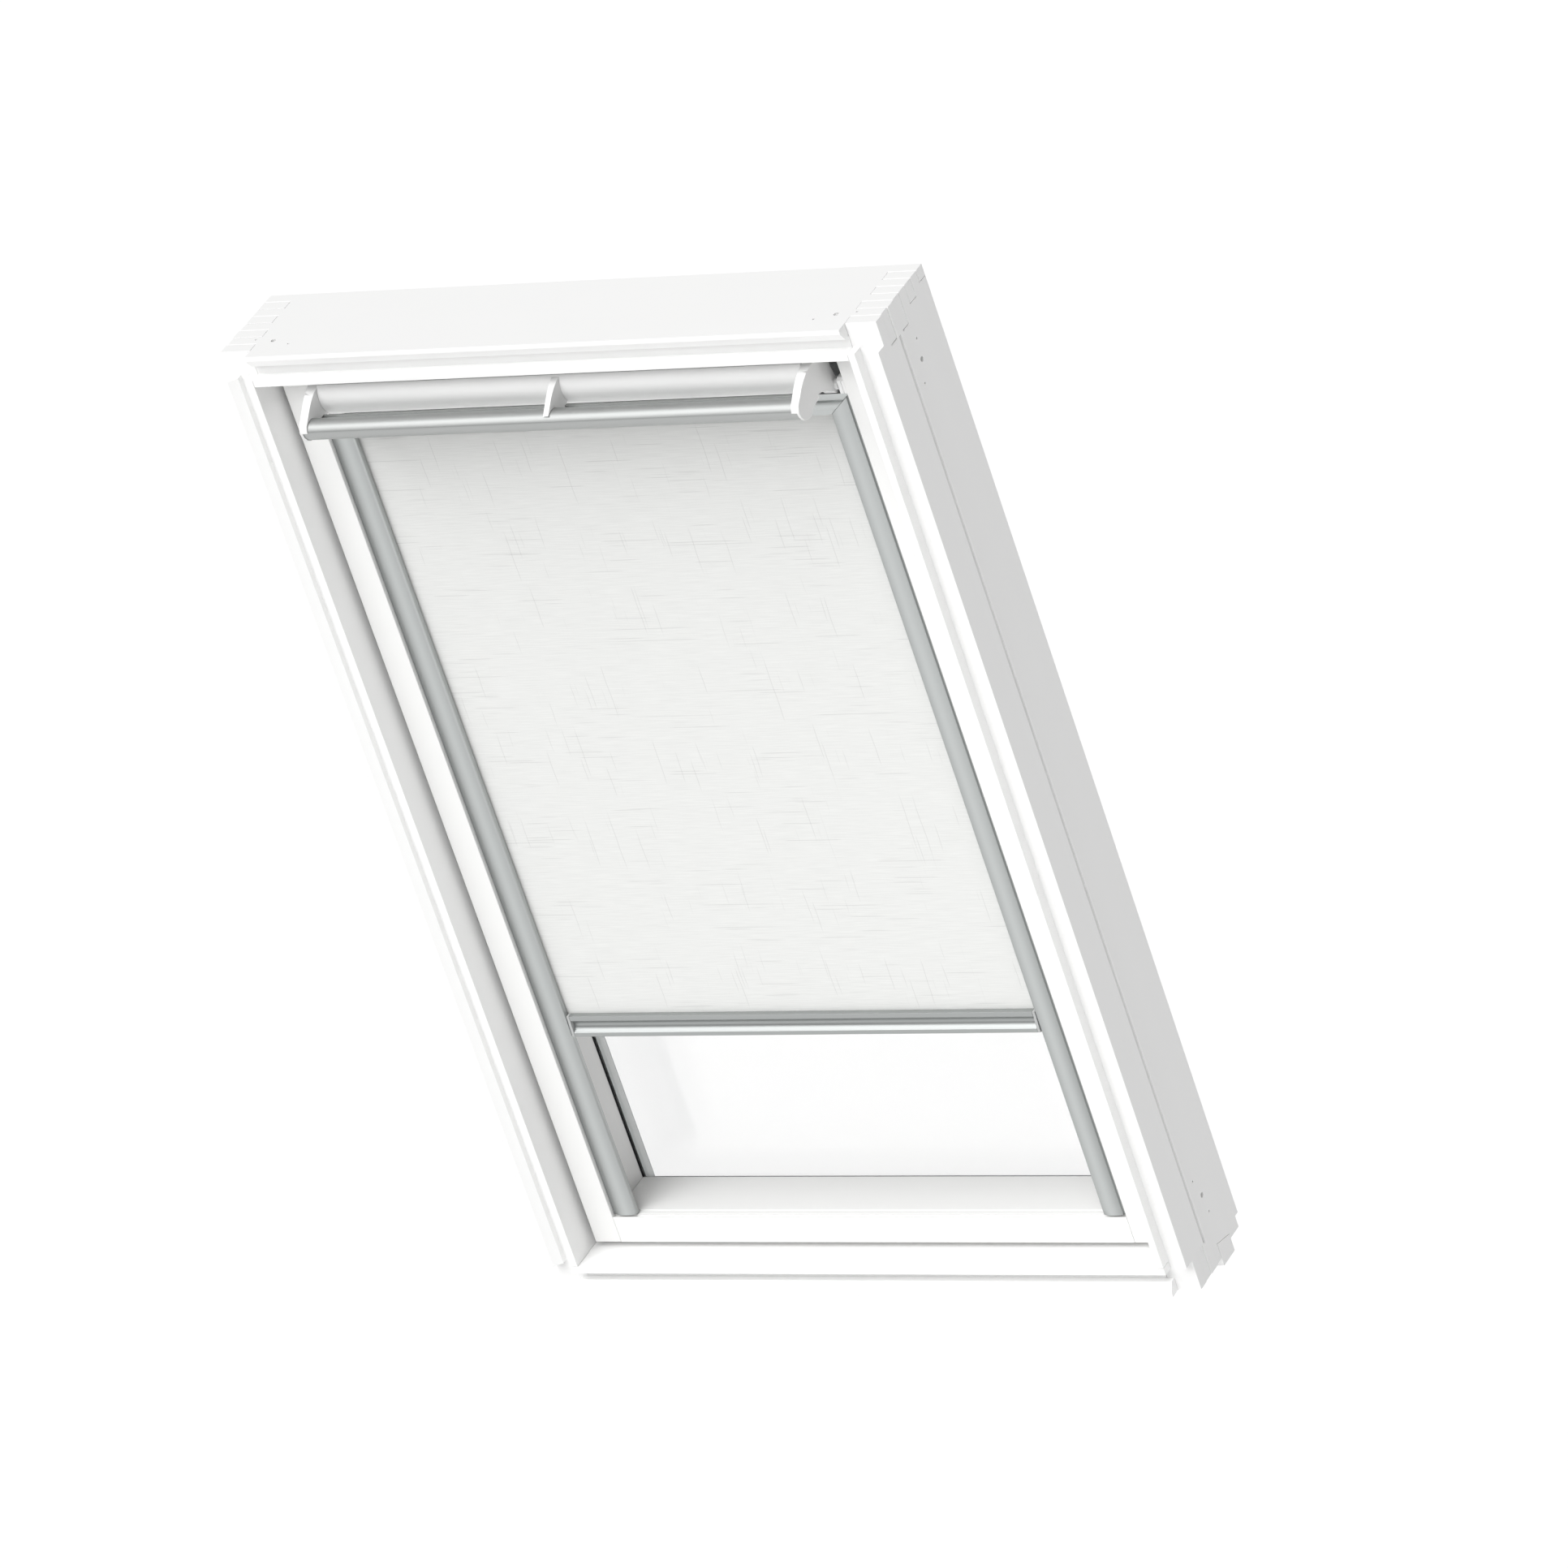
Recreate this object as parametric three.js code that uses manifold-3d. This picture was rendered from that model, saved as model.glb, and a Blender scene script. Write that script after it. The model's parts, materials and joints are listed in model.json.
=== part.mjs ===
// Centre-pivot roof window with a roller blind in its sash.
// Millimetres. X runs across the window, +Z up the slope and +Y out through the roof.
// The origin is the middle of the frame sill's underside.
import * as THREE from "three";
import { mergeVertices } from "three/addons/utils/BufferGeometryUtils.js";
import Module from "manifold-3d";

const wasm = await Module();
wasm.setup();

// Frame
const frameWidth = 780;
const frameHeight = 1178;
const frameDepth = 127;
const frameMember = 36;
const stripFace = 5.3;
const bevelWidth = 9.7;
const bevelDepth = 6.5;
const grooveDepth = 13.5;
const lipWidth = 8.3;
const fingerCount = 8;
const fingerSetback = 1;
const stileRebate = 3;
const headMiddle = 21.5;
const headRear = 13.5;
const sillDrop = 12;
const sillRun = 3.7;
const sillLedge = 19.5;
const sillShoulder = 18;
const sillNose = 11;
const sillTongue = 9.6;
const stileFootLift = 5.5;
const stileHeelLift = 19;
const stileHeelDepth = 7;
const sawGrooveDepth = 4;
const sawGrooveWidth = 4.4;
const sawGroovePlace = 45;
const coreStep = 1;
const coreStepSetback = 11.25;

// Fixing holes in the outer faces: distance from the corner, depth from the room face, radius
const bracketHole = 3;
const pilotHole = 1.3;
const holeDepth = 8;
const stileHoles = [[56.5, 75.8, pilotHole], [79, 72.7, bracketHole], [102, 64, pilotHole]];
const headHoles = [[32, 35.8, pilotHole], [55, 32.8, bracketHole], [77.5, 24.7, pilotHole]];

// Clearances
const fit = 0.3;
const running = 0.4;
const overrun = 5;

// Sash
const sashGap = 7.5;
const sashFace = 36;
const sashMember = 32;
const sashDepth = 102;
const topRailSetback = 6;
const railGrooveStart = 2;
const railGrooveWidth = 5;
const railGrooveDepth = 2.5;
const railBead = 7;
const railRise = 1;

// Glazing
const glassInset = 0.6;
const paneThickness = 4;
const paneSpace = 15.4;
const glassOverlap = 14;
const glassLift = 6;
const glassMargin = 2.5;
const spacerWidth = 8;
const gasketThickness = 0.7;
const gasketLip = 1.5;
const coverThickness = 1.2;
const coverSkirt = 22;
const coverApron = 14;
const coverSetback = 4;
const coverLap = 8.5;

// Pivot hinges and the weather seal
const pivotPin = 6;
const pivotPlateThickness = 3;
const pivotPlay = 0.9;
const pivotPlateHeight = 64;
const pivotPlateWidth = 32;
const sealThickness = 3;
const sealWidth = 6;
const sealPlace = 50;

// Vent flap, its arms and the control bar
const barrelRadius = 27.5;
const barrelDepth = 35.5;
const barrelDrop = 16;
const flapWall = 3;
const flapTopGap = 0.2;
const flapClearAngle = 19.5;
const flapWebs = 4;
const webThickness = 3;
const hingeDepth = 44;
const hingeDrop = 43;
const hingeBoss = 9.3;
const webBoss = 6;
const shaftRadius = 3;
const armInset = 13;
const armThickness = 13.5;
const armTipThickness = 9;
const middleArmThickness = 10.4;
const middleArmTip = 6;
const barStandoff = 34.5;
const barCap = 2.5;
const capRim = 1;
const barWall = 1.8;
const bearingWidth = 9.2;
const bearingLead = 5;
const bearingDepth = 21;
const bearingHeight = 18;
const bearingGroove = 1.2;
const bearingGrooveInset = 4;

// Latch in the middle of the top rail
const lockWidth = 64;
const lockDepth = 22;
const lockHeight = 24;
const lockSetback = 12.75;
const boltWidth = 24;
const boltThickness = 8;
const boltProjection = 4;
const boltTravel = 8;
const strikeWidth = 70;
const strikeDepth = 26;
const strikeLip = 2;
const strikeMouth = 1.5;
const filterHeight = 22;
const filterDepth = 8;
const filterInset = 12.5;
const filterLift = 4;

// Blind
const blindFace = 38;
const casingGap = 0.7;
const casingSetback = 2;
const fasciaHeight = 24;
const fasciaGap = 0.5;
const casingBackWall = 1.9;
const casingWall = 1.2;
const blindRailWidth = 29;
const blindRailDepth = 20;
const railSlotDepth = 8;
const railSlotWidth = 4.4;
const railSlotReach = 14;
const railBackSetback = 10;
const tubeRadius = 9;
const tubeWall = 1;
const woundDepth = 1.6;
const rollClearance = 2.7;
const plugLength = 12;
const plugFlange = 2;
const axleRadius = 3;
const bracketThickness = 4;
const springTurns = 12;
const springRadius = 5.6;
const springWire = 0.9;
const springLength = 150;
const fabricThickness = 0.6;
const fabricInset = 1.5;
const barHeight = 25.2;
const barDepth = 14;
const barLead = 8.2;
const barLift = 231.5;
const barLip = 4.8;
const barBand = 5.2;
const barBandSetback = 1;
const channelDepth = 5.5;
const barEnd = 3;
const hemDepth = 3;
const hemSlot = 1.6;

// Worked out from the sizes above
const halfWidth = frameWidth / 2;
const openingHalf = halfWidth - frameMember;
const openingTop = frameHeight - frameMember;
const fingerPitch = (frameDepth - grooveDepth) / fingerCount;
const sillDepth = grooveDepth + 6 * fingerPitch;
const stepDepth = grooveDepth + 4 * fingerPitch;
const coreStepPlace = stepDepth - coreStepSetback;
const crossLip = frameMember - lipWidth;
const sashHalf = openingHalf - sashGap;
const sashBottom = frameMember + sashGap;
const sashTop = openingTop - sashGap;
const sashBack = sashFace + sashDepth;
const pivotHeight = frameHeight / 2;
const pivotDepth = sashFace + (sashDepth + coverThickness + fit) / 2;
const lockPlace = stepDepth + lockSetback;
const barrelHeight = sashTop - barrelDrop;
const armReach = barrelRadius + barStandoff;
const hingeHeight = sashTop - hingeDrop;
const bearingFace = hingeDepth - bearingLead;
const topRailFace = bearingFace + bearingDepth + topRailSetback;
const blindTop = hingeHeight - hingeBoss - casingGap;
const lightHalf = sashHalf - sashMember;
const lightBottom = sashBottom + sashMember;
const lightTop = blindTop + casingSetback;
const glassHalf = lightHalf + glassOverlap;
const glassBottom = sashBottom + glassLift;
const glassTop = lightTop + glassOverlap;
const glassBack = sashBack - glassInset;
const glassFace = glassBack - 2 * paneThickness - paneSpace;
const woodSeat = glassFace - gasketThickness - 2 * fit;
const filterHalf = lightHalf - filterInset;
const armHalf = lightHalf - armInset;
const tipHalf = armHalf - armThickness + armTipThickness;
const bearingHalf = lightHalf - fit - bearingWidth;
const bearingGroovePlace = bearingHalf + bearingGrooveInset;
const slotMiddle = railSlotDepth + railSlotWidth / 2;
const fasciaDepth = slotMiddle - rollClearance - fasciaGap;
const casingBottom = blindTop - fasciaHeight;
const fabricPlane = blindFace + slotMiddle;
const rollRadius = tubeRadius + woundDepth;
const rollSpace = rollRadius + rollClearance;
const rollerDepth = fabricPlane + rollRadius;
const rollerHeight = blindTop - casingWall - rollSpace;
const chamberBottom = rollerHeight - rollSpace - casingWall;
const railInner = lightHalf - fit - blindRailWidth;
const fabricHalf = railInner + railSlotReach - fabricInset - running;
const barRest = lightBottom + barLift;
const barFront = fabricPlane - barLead;

const whitePaint = new THREE.MeshStandardMaterial({ color: 0xfafafa, roughness: 0.45, metalness: 0 });
const whitePlastic = new THREE.MeshStandardMaterial({ color: 0xf2f2f2, roughness: 0.4, metalness: 0 });
const silver = new THREE.MeshStandardMaterial({ color: 0xc2c7c6, roughness: 0.35, metalness: 0.8 });
const brushed = new THREE.MeshStandardMaterial({ color: 0xb5b8b7, roughness: 0.3, metalness: 0.9 });
const greyCladding = new THREE.MeshStandardMaterial({ color: 0x5b5f61, roughness: 0.5, metalness: 0.5 });
const steel = new THREE.MeshStandardMaterial({ color: 0x9a9c9d, roughness: 0.35, metalness: 1 });
const blackRubber = new THREE.MeshStandardMaterial({ color: 0x1c1d1e, roughness: 0.8, metalness: 0 });
const glassMaterial = new THREE.MeshStandardMaterial({
  color: 0xeaf4f2, roughness: 0.05, metalness: 0, transparent: true, opacity: 0.3 });
const greyPlastic = new THREE.MeshStandardMaterial({ color: 0x9fa3a3, roughness: 0.5, metalness: 0 });
const filterFoam = new THREE.MeshStandardMaterial({ color: 0x8c8f90, roughness: 1, metalness: 0 });
const fabricCloth = new THREE.MeshStandardMaterial({ color: 0xedeeec, roughness: 0.95, metalness: 0 });

const roofWindow = new THREE.Group();
roofWindow.position.y = -frameDepth / 2;

// A shape from points, with optional holes
function outline(points, holes = []) {
  const shape = new THREE.Shape(points.map(([u, v]) => new THREE.Vector2(u, v)));
  for (const hole of holes) {
    shape.holes.push(new THREE.Path(hole.map(([u, v]) => new THREE.Vector2(u, v))));
  }
  return shape;
}

function extrude(shape, length, basis, offset) {
  const geometry = new THREE.ExtrudeGeometry(shape, { depth: length, bevelEnabled: false });
  const turn = new THREE.Matrix4().makeBasis(...basis);
  geometry.applyMatrix4(turn.setPosition(offset));
  return geometry;
}

const axisX = new THREE.Vector3(1, 0, 0);
const axisY = new THREE.Vector3(0, 1, 0);
const axisZ = new THREE.Vector3(0, 0, 1);
const minusY = new THREE.Vector3(0, -1, 0);

// Profiles of (y, z) points run along X, of (x, y) points along Z, of (x, z) points along Y
const alongX = (points, from, to, holes) =>
  extrude(outline(points, holes), to - from, [axisY, axisZ, axisX], new THREE.Vector3(from, 0, 0));
const alongZ = (points, from, to, holes) =>
  extrude(outline(points, holes), to - from, [axisX, axisY, axisZ], new THREE.Vector3(0, 0, from));
const alongY = (points, from, to, holes) =>
  extrude(outline(points, holes), to - from, [axisX, axisZ, minusY], new THREE.Vector3(0, to, 0));

function block([x0, x1], [y0, y1], [z0, z1]) {
  const geometry = new THREE.BoxGeometry(x1 - x0, y1 - y0, z1 - z0);
  return geometry.translate((x0 + x1) / 2, (y0 + y1) / 2, (z0 + z1) / 2);
}

// A round bar along X between two X places
function rodX(radius, from, to, y, z, sides = 24) {
  const geometry = new THREE.CylinderGeometry(radius, radius, to - from, sides);
  return geometry.rotateZ(-Math.PI / 2).translate((from + to) / 2, y, z);
}

function rodY(radius, from, to, x, z, sides = 16) {
  const geometry = new THREE.CylinderGeometry(radius, radius, to - from, sides);
  return geometry.translate(x, (from + to) / 2, z);
}

function rodZ(radius, from, to, x, y, sides = 16) {
  const geometry = new THREE.CylinderGeometry(radius, radius, to - from, sides);
  return geometry.rotateX(Math.PI / 2).translate(x, y, (from + to) / 2);
}

function solid(geometry) {
  const bare = geometry.clone();
  bare.deleteAttribute("normal");
  bare.deleteAttribute("uv");
  const merged = mergeVertices(bare, fit / 1000);
  return new wasm.Manifold(new wasm.Mesh({
    numProp: 3,
    vertProperties: new Float32Array(merged.attributes.position.array),
    triVerts: new Uint32Array(merged.index.array),
  }));
}

const join = (...geometries) =>
  geometries.map(solid).reduce((whole, piece) => whole.add(piece));
const cut = (whole, ...tools) =>
  tools.reduce((rest, tool) => rest.subtract(tool), whole);

function geometryOf(manifold) {
  const mesh = manifold.getMesh();
  const geometry = new THREE.BufferGeometry();
  geometry.setAttribute("position", new THREE.BufferAttribute(mesh.vertProperties, 3));
  geometry.setIndex(new THREE.BufferAttribute(mesh.triVerts, 1));
  geometry.computeVertexNormals();
  return geometry;
}

function add(name, material, shape) {
  const geometry = shape.isBufferGeometry ? shape : geometryOf(shape);
  const mesh = new THREE.Mesh(geometry, material);
  mesh.name = name;
  roofWindow.add(mesh);
}

// Points of an arc, angles in degrees
function arc(y, z, radius, from, to, steps) {
  const points = [];
  for (let step = 0; step <= steps; step += 1) {
    const angle = THREE.MathUtils.degToRad(from + (to - from) * step / steps);
    points.push([y + radius * Math.cos(angle), z + radius * Math.sin(angle)]);
  }
  return points;
}

const circle = (y, z, radius, steps) => arc(y, z, radius, 0, 360, steps).slice(1);

const sides = [["left", -1], ["right", 1]];
const span = (side, near, far) => (side > 0 ? [near, far] : [-far, -near]);

// Room-face moulding of every frame member: strip, bevel, lining groove and inner lip.
// u runs from the outer face to the opening, v is the depth behind the room face.
const moulding = (floor) => [
  [0, 0], [stripFace, 0], [stripFace + bevelWidth, bevelDepth], [stripFace + bevelWidth, floor],
  [crossLip, floor], [crossLip, 0], [frameMember, 0],
];
const finger = (index) => [grooveDepth + index * fingerPitch, grooveDepth + (index + 1) * fingerPitch];
const stileAtHead = [0, 2, 4, 6];
const headFingers = [1, 3, 5, 7];
const sillFingers = [[1, 1], [4, 5]];
const headRise = (index) => (index < 4 ? frameMember : index < 6 ? headMiddle : headRear);
const widen = ([low, high], by) => [low - by, high + by];

// Head and sill are flush with the sides of the notches in their ends
const crossFloor = grooveDepth - fit / 2;
const crossStep = stepDepth - fit / 2;
const crossBack = sillDepth - fit / 2;
const tongueFace = stepDepth + fit / 2;

// Top of the sill: flat behind the lip, a drop, then a weathered slope to the nose
const sillTop = [
  [coreStepPlace, frameMember], [coreStepPlace, frameMember - sillDrop],
  [coreStepPlace + sillRun, sillLedge], [crossStep, sillShoulder], [crossBack, sillNose],
];

// Frame stiles, with open slots at both ends for the fingers of head and sill
function frameStile(side) {
  const section = [
    ...moulding(grooveDepth), [frameMember, coreStepPlace], [frameMember - stileRebate, coreStepPlace],
    [frameMember - stileRebate, frameDepth], [coreStep, frameDepth], [coreStep, coreStepPlace],
    [0, coreStepPlace],
  ];
  const body = alongZ(section.map(([u, v]) => [side * (halfWidth - u), v]), 0, frameHeight);
  const across = span(side, openingHalf - overrun, halfWidth + overrun);
  const tools = [
    block(across, [-overrun, grooveDepth], [frameHeight - crossLip, frameHeight + overrun]),
    block(across, [-overrun, grooveDepth], [-overrun, frameMember + fit]),
    block(across, [sillDepth, frameDepth + overrun], [-overrun, stileFootLift]),
    block(across, [frameDepth - stileHeelDepth, frameDepth + overrun], [-overrun, stileHeelLift]),
    block(span(side, halfWidth - sawGrooveDepth, halfWidth + overrun),
      [sawGroovePlace, sawGroovePlace + sawGrooveWidth], [frameMember, openingTop]),
  ];
  for (const index of headFingers) {
    const from = frameHeight - headRise(index) - fit;
    tools.push(block(across, widen(finger(index), fit / 2), [from, frameHeight + overrun]));
  }
  for (const [first, last] of sillFingers) {
    const [low, high] = widen([finger(first)[0], finger(last)[1]], fit / 2);
    const rise = first < 4 ? [frameMember, frameMember] : [sillShoulder, sillNose];
    tools.push(alongX([[low, -overrun], [low, rise[0] + fit], [high, rise[1] + fit], [high, -overrun]],
      ...across));
  }
  for (const [along, depth, radius] of stileHoles) {
    for (const z of [along, frameHeight - along]) {
      const hole = new THREE.CylinderGeometry(radius, radius, 2 * holeDepth, 12);
      tools.push(hole.rotateZ(Math.PI / 2).translate(side * halfWidth, depth, z));
    }
  }
  return cut(solid(body), ...tools.map(solid));
}
for (const [label, side] of sides) add(`frame_stile_${label}`, whitePaint, frameStile(side));

// Notches in the ends of head and sill for the fingers of the stiles
function endNotches(length, fingers) {
  const tools = [];
  const full = [-overrun - sillTongue, frameHeight + overrun];
  for (const [, side] of sides) {
    tools.push(block(span(side, length, halfWidth + overrun), [-overrun, grooveDepth], full));
    for (const index of fingers) {
      const [low, high] = widen(finger(index), fit / 2);
      const back = span(side, openingHalf + stileRebate - fit, halfWidth + overrun);
      tools.push(block(back, [low, high], full));
      const front = [low, Math.min(high, coreStepPlace + fit)];
      if (low < coreStepPlace) {
        tools.push(block(span(side, openingHalf - fit, halfWidth + overrun), front, full));
      }
    }
  }
  return tools;
}

// Frame head, thinner towards the roof in two steps
const headSection = [
  ...moulding(crossFloor), [frameMember, crossStep], [headMiddle, crossStep], [headMiddle, crossBack],
  [headRear, crossBack], [headRear, frameDepth], [0, frameDepth],
].map(([u, v]) => [v, frameHeight - u]);
const endSetback = halfWidth - fingerSetback;
const headTools = endNotches(openingHalf - fit, stileAtHead);
for (const [along, depth, radius] of headHoles) {
  for (const [, side] of sides) {
    headTools.push(rodZ(radius, frameHeight - holeDepth, frameHeight + overrun,
      side * (halfWidth - along), depth, 12));
  }
}
add("frame_head", whitePaint,
  cut(solid(alongX(headSection, -endSetback, endSetback)), ...headTools.map(solid)));

// Frame sill, with its weathered slope and the tongue that the roof flashing hooks on
const sillSection = [
  ...moulding(crossFloor).map(([u, v]) => [v, u]), ...sillTop, [crossBack, -sillTongue],
  [tongueFace, -sillTongue], [tongueFace, 0],
];
const sillTools = endNotches(halfWidth - crossLip, [0, 2, 3, 6, 7]);
add("frame_sill", whitePaint,
  cut(solid(alongX(sillSection, -endSetback, endSetback)), ...sillTools.map(solid)));

// Weather seal round the four inner walls
const rectangle = (half, low, high) => [[-half, low], [half, low], [half, high], [-half, high]];
add("frame_seal", blackRubber, alongY(
  rectangle(openingHalf - fit, frameMember + fit, openingTop - fit), sealPlace, sealPlace + sealWidth,
  [rectangle(openingHalf - sealThickness, frameMember + sealThickness, openingTop - sealThickness)]));

// Pivot hinges: a bored housing on the frame, a plate with a pin on the sash
const pivotBand = [pivotDepth - pivotPlateWidth / 2, pivotDepth + pivotPlateWidth / 2];
const pivotSpan = [pivotHeight - pivotPlateHeight / 2, pivotHeight + pivotPlateHeight / 2];
const pivotWall = openingHalf + stileRebate;
for (const [label, side] of sides) {
  const housingInner = sashHalf + fit + pivotPlateThickness + pivotPlay;
  const housing = block(span(side, housingInner, pivotWall - fit), pivotBand, pivotSpan);
  const bore = rodX(pivotPin + fit, ...span(side, housingInner - overrun, pivotWall + overrun),
    pivotDepth, pivotHeight);
  add(`pivot_housing_${label}`, steel, cut(solid(housing), solid(bore)));
  const plate = block(span(side, sashHalf + fit, sashHalf + fit + pivotPlateThickness),
    pivotBand, pivotSpan);
  const pin = rodX(pivotPin, ...span(side, sashHalf + fit, pivotWall - 2 * fit), pivotDepth, pivotHeight);
  add(`pivot_plate_${label}`, steel, join(plate, pin));
}

// Sash stiles run the full height, rails stand between them
const stileSection = [
  [lightHalf, sashFace], [sashHalf, sashFace], [sashHalf, sashBack],
  [glassHalf + glassMargin, sashBack], [glassHalf + glassMargin, woodSeat], [lightHalf, woodSeat],
];
for (const [label, side] of sides) {
  add(`sash_stile_${label}`, whitePaint,
    alongZ(stileSection.map(([x, y]) => [side * x, y]), sashBottom, sashTop));
}
const railEnd = lightHalf - fit;
const grooveFrom = sashFace + railGrooveStart;
const grooveTo = grooveFrom + railGrooveWidth;
add("sash_bottom_rail", whitePaint, alongX([
  [sashFace, sashBottom], [sashFace, lightBottom], [grooveFrom, lightBottom],
  [grooveFrom, lightBottom - railGrooveDepth], [grooveTo, lightBottom - railGrooveDepth],
  [grooveTo, lightBottom], [grooveTo + railBead, lightBottom],
  [grooveTo + railBead, lightBottom + railRise], [woodSeat, lightBottom],
  [woodSeat, glassBottom - glassMargin], [sashBack, glassBottom - glassMargin], [sashBack, sashBottom],
], -railEnd, railEnd));

// Top rail stands behind the vent flap and holds the filter and the lock
const filterBand = [lightTop + filterLift, lightTop + filterLift + filterHeight];
const topRail = alongX([
  [topRailFace, lightTop], [topRailFace, sashTop], [sashBack, sashTop],
  [sashBack, glassTop + glassMargin], [woodSeat, glassTop + glassMargin], [woodSeat, lightTop],
], -railEnd, railEnd);
const filterPocket = block([-filterHalf - fit, filterHalf + fit],
  [topRailFace - overrun, topRailFace + filterDepth + fit], widen(filterBand, fit));
const lockPocket = block([-lockWidth / 2 - fit, lockWidth / 2 + fit],
  [lockPlace - fit, lockPlace + lockDepth + fit], [sashTop - lockHeight - fit, sashTop + overrun]);
add("sash_top_rail", whitePaint, cut(solid(topRail), solid(filterPocket), solid(lockPocket)));
add("vent_filter", filterFoam, block([-filterHalf, filterHalf],
  [topRailFace + fit, topRailFace + filterDepth], filterBand));

// Insulating glass: two panes, the spacer between them and the gasket on the room side
const glassAcross = [-glassHalf, glassHalf];
const paneBack = glassFace + paneThickness;
add("glass_inner_pane", glassMaterial, block(glassAcross, [glassFace, paneBack], [glassBottom, glassTop]));
add("glass_outer_pane", glassMaterial,
  block(glassAcross, [glassBack - paneThickness, glassBack], [glassBottom, glassTop]));
add("glass_spacer", silver, alongY(
  rectangle(lightHalf + spacerWidth, glassBottom + fit, glassTop - fit),
  paneBack + fit, glassBack - paneThickness - fit,
  [rectangle(lightHalf, glassBottom + spacerWidth, glassTop - spacerWidth)]));
add("glass_gasket", blackRubber, alongY(
  rectangle(glassHalf, glassBottom, glassTop), woodSeat + fit, glassFace - fit,
  [rectangle(lightHalf - gasketLip, lightBottom - gasketLip, lightTop + gasketLip)]));

// Exterior covers: folded sheet over the edges of sash and glass
const coverFace = sashBack + fit;
const coverBack = coverFace + coverThickness;
const coverInner = lightHalf + coverSetback;
const coverOuter = sashHalf + fit + coverThickness;
for (const [label, side] of sides) {
  const fold = [
    [coverInner, coverFace], [sashHalf + fit, coverFace], [sashHalf + fit, coverBack - coverSkirt],
    [coverOuter, coverBack - coverSkirt], [coverOuter, coverBack], [coverInner, coverBack],
  ];
  add(`cover_${label}`, greyCladding, alongZ(fold.map(([x, y]) => [side * x, y]), sashBottom, sashTop));
}
const coverEnd = coverInner - fit;
add("cover_top", greyCladding, alongX([
  [coverFace, lightTop + coverSetback], [coverBack, lightTop + coverSetback],
  [coverBack, sashTop + fit + coverThickness], [coverBack - coverSkirt, sashTop + fit + coverThickness],
  [coverBack - coverSkirt, sashTop + fit], [coverFace, sashTop + fit],
], -coverEnd, coverEnd));
add("cover_bottom", greyCladding, alongX([
  [coverFace, sashBottom - coverApron], [coverBack, sashBottom - coverApron],
  [coverBack, glassBottom + coverLap], [coverFace, glassBottom + coverLap],
], -coverEnd, coverEnd));

// Lock case with its bolt, and the strike plate under the frame head
const lockBand = [lockPlace, lockPlace + lockDepth];
const boltDepth = lockPlace + lockDepth / 2;
const boltBand = [boltDepth - boltThickness / 2, boltDepth + boltThickness / 2];
const boltTop = sashTop + boltProjection;
const lockBase = sashTop - lockHeight;
const lockShell = block([-lockWidth / 2, lockWidth / 2], lockBand, [lockBase, sashTop - fit]);
const boltWay = block([-boltWidth / 2 - running, boltWidth / 2 + running], widen(boltBand, running),
  [lockBase - overrun, sashTop + overrun]);
add("lock_case", steel, cut(solid(lockShell), solid(boltWay)));
const boltNose = block([-boltWidth / 2, boltWidth / 2], boltBand, [lockBase + boltTravel, boltTop]);
add("lock_bolt", steel, boltNose);
const strikeBand = [boltDepth - strikeDepth / 2, boltDepth + strikeDepth / 2];
const strikeRoof = frameHeight - headMiddle - fit;
const strikeFoot = boltTop + strikeLip;
const strike = block([-strikeWidth / 2, strikeWidth / 2], strikeBand, [strikeFoot, strikeRoof]);
const strikePocket = block(widen([-boltWidth / 2, boltWidth / 2], strikeMouth),
  widen(boltBand, strikeMouth), [strikeFoot - overrun, strikeRoof - strikeLip]);
add("strike_plate", steel, cut(solid(strike), solid(strikePocket)));

// Vent flap: a barrel-shaped shell on webs that turn about the hinge shaft.
// It runs from the top of the sash round to the near side of the shaft.
const flapStart = 180 - THREE.MathUtils.radToDeg(Math.asin((barrelDrop - flapTopGap) / barrelRadius));
const shaftAngle = THREE.MathUtils.radToDeg(
  Math.atan2(hingeHeight - barrelHeight, hingeDepth - barrelDepth));
const flapEnd = 360 + shaftAngle - flapClearAngle;
const barrel = (radius, from, to) => arc(barrelDepth, barrelHeight, radius, from, to, 20);
const hingeRod = (radius, from, to) => rodX(radius, from, to, hingeDepth, hingeHeight);
const flapHalf = armHalf - armThickness - fit;
const flapInner = barrelRadius - flapWall;
const flapShell = [
  ...barrel(barrelRadius, flapStart, flapEnd), ...barrel(flapInner, flapEnd, flapStart),
];
const webOutline = [
  ...barrel(flapInner + flapWall / 2, flapStart, flapEnd), [hingeDepth, hingeHeight],
  [barrelDepth, barrelHeight],
];
const flapParts = [alongX(flapShell, -flapHalf, flapHalf)];
for (let web = 0; web < flapWebs; web += 1) {
  const from = (2 * flapHalf - webThickness) * web / (flapWebs - 1) - flapHalf;
  flapParts.push(alongX(webOutline, from, from + webThickness));
  flapParts.push(hingeRod(webBoss, from, from + webThickness));
}
const shaftWay = hingeRod(shaftRadius + fit, -halfWidth, halfWidth);
add("vent_flap", whitePlastic, cut(join(...flapParts), solid(shaftWay)));
const shaftHalf = lightHalf - 2 * fit;
add("flap_shaft", steel, hingeRod(shaftRadius, -shaftHalf, shaftHalf));

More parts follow.
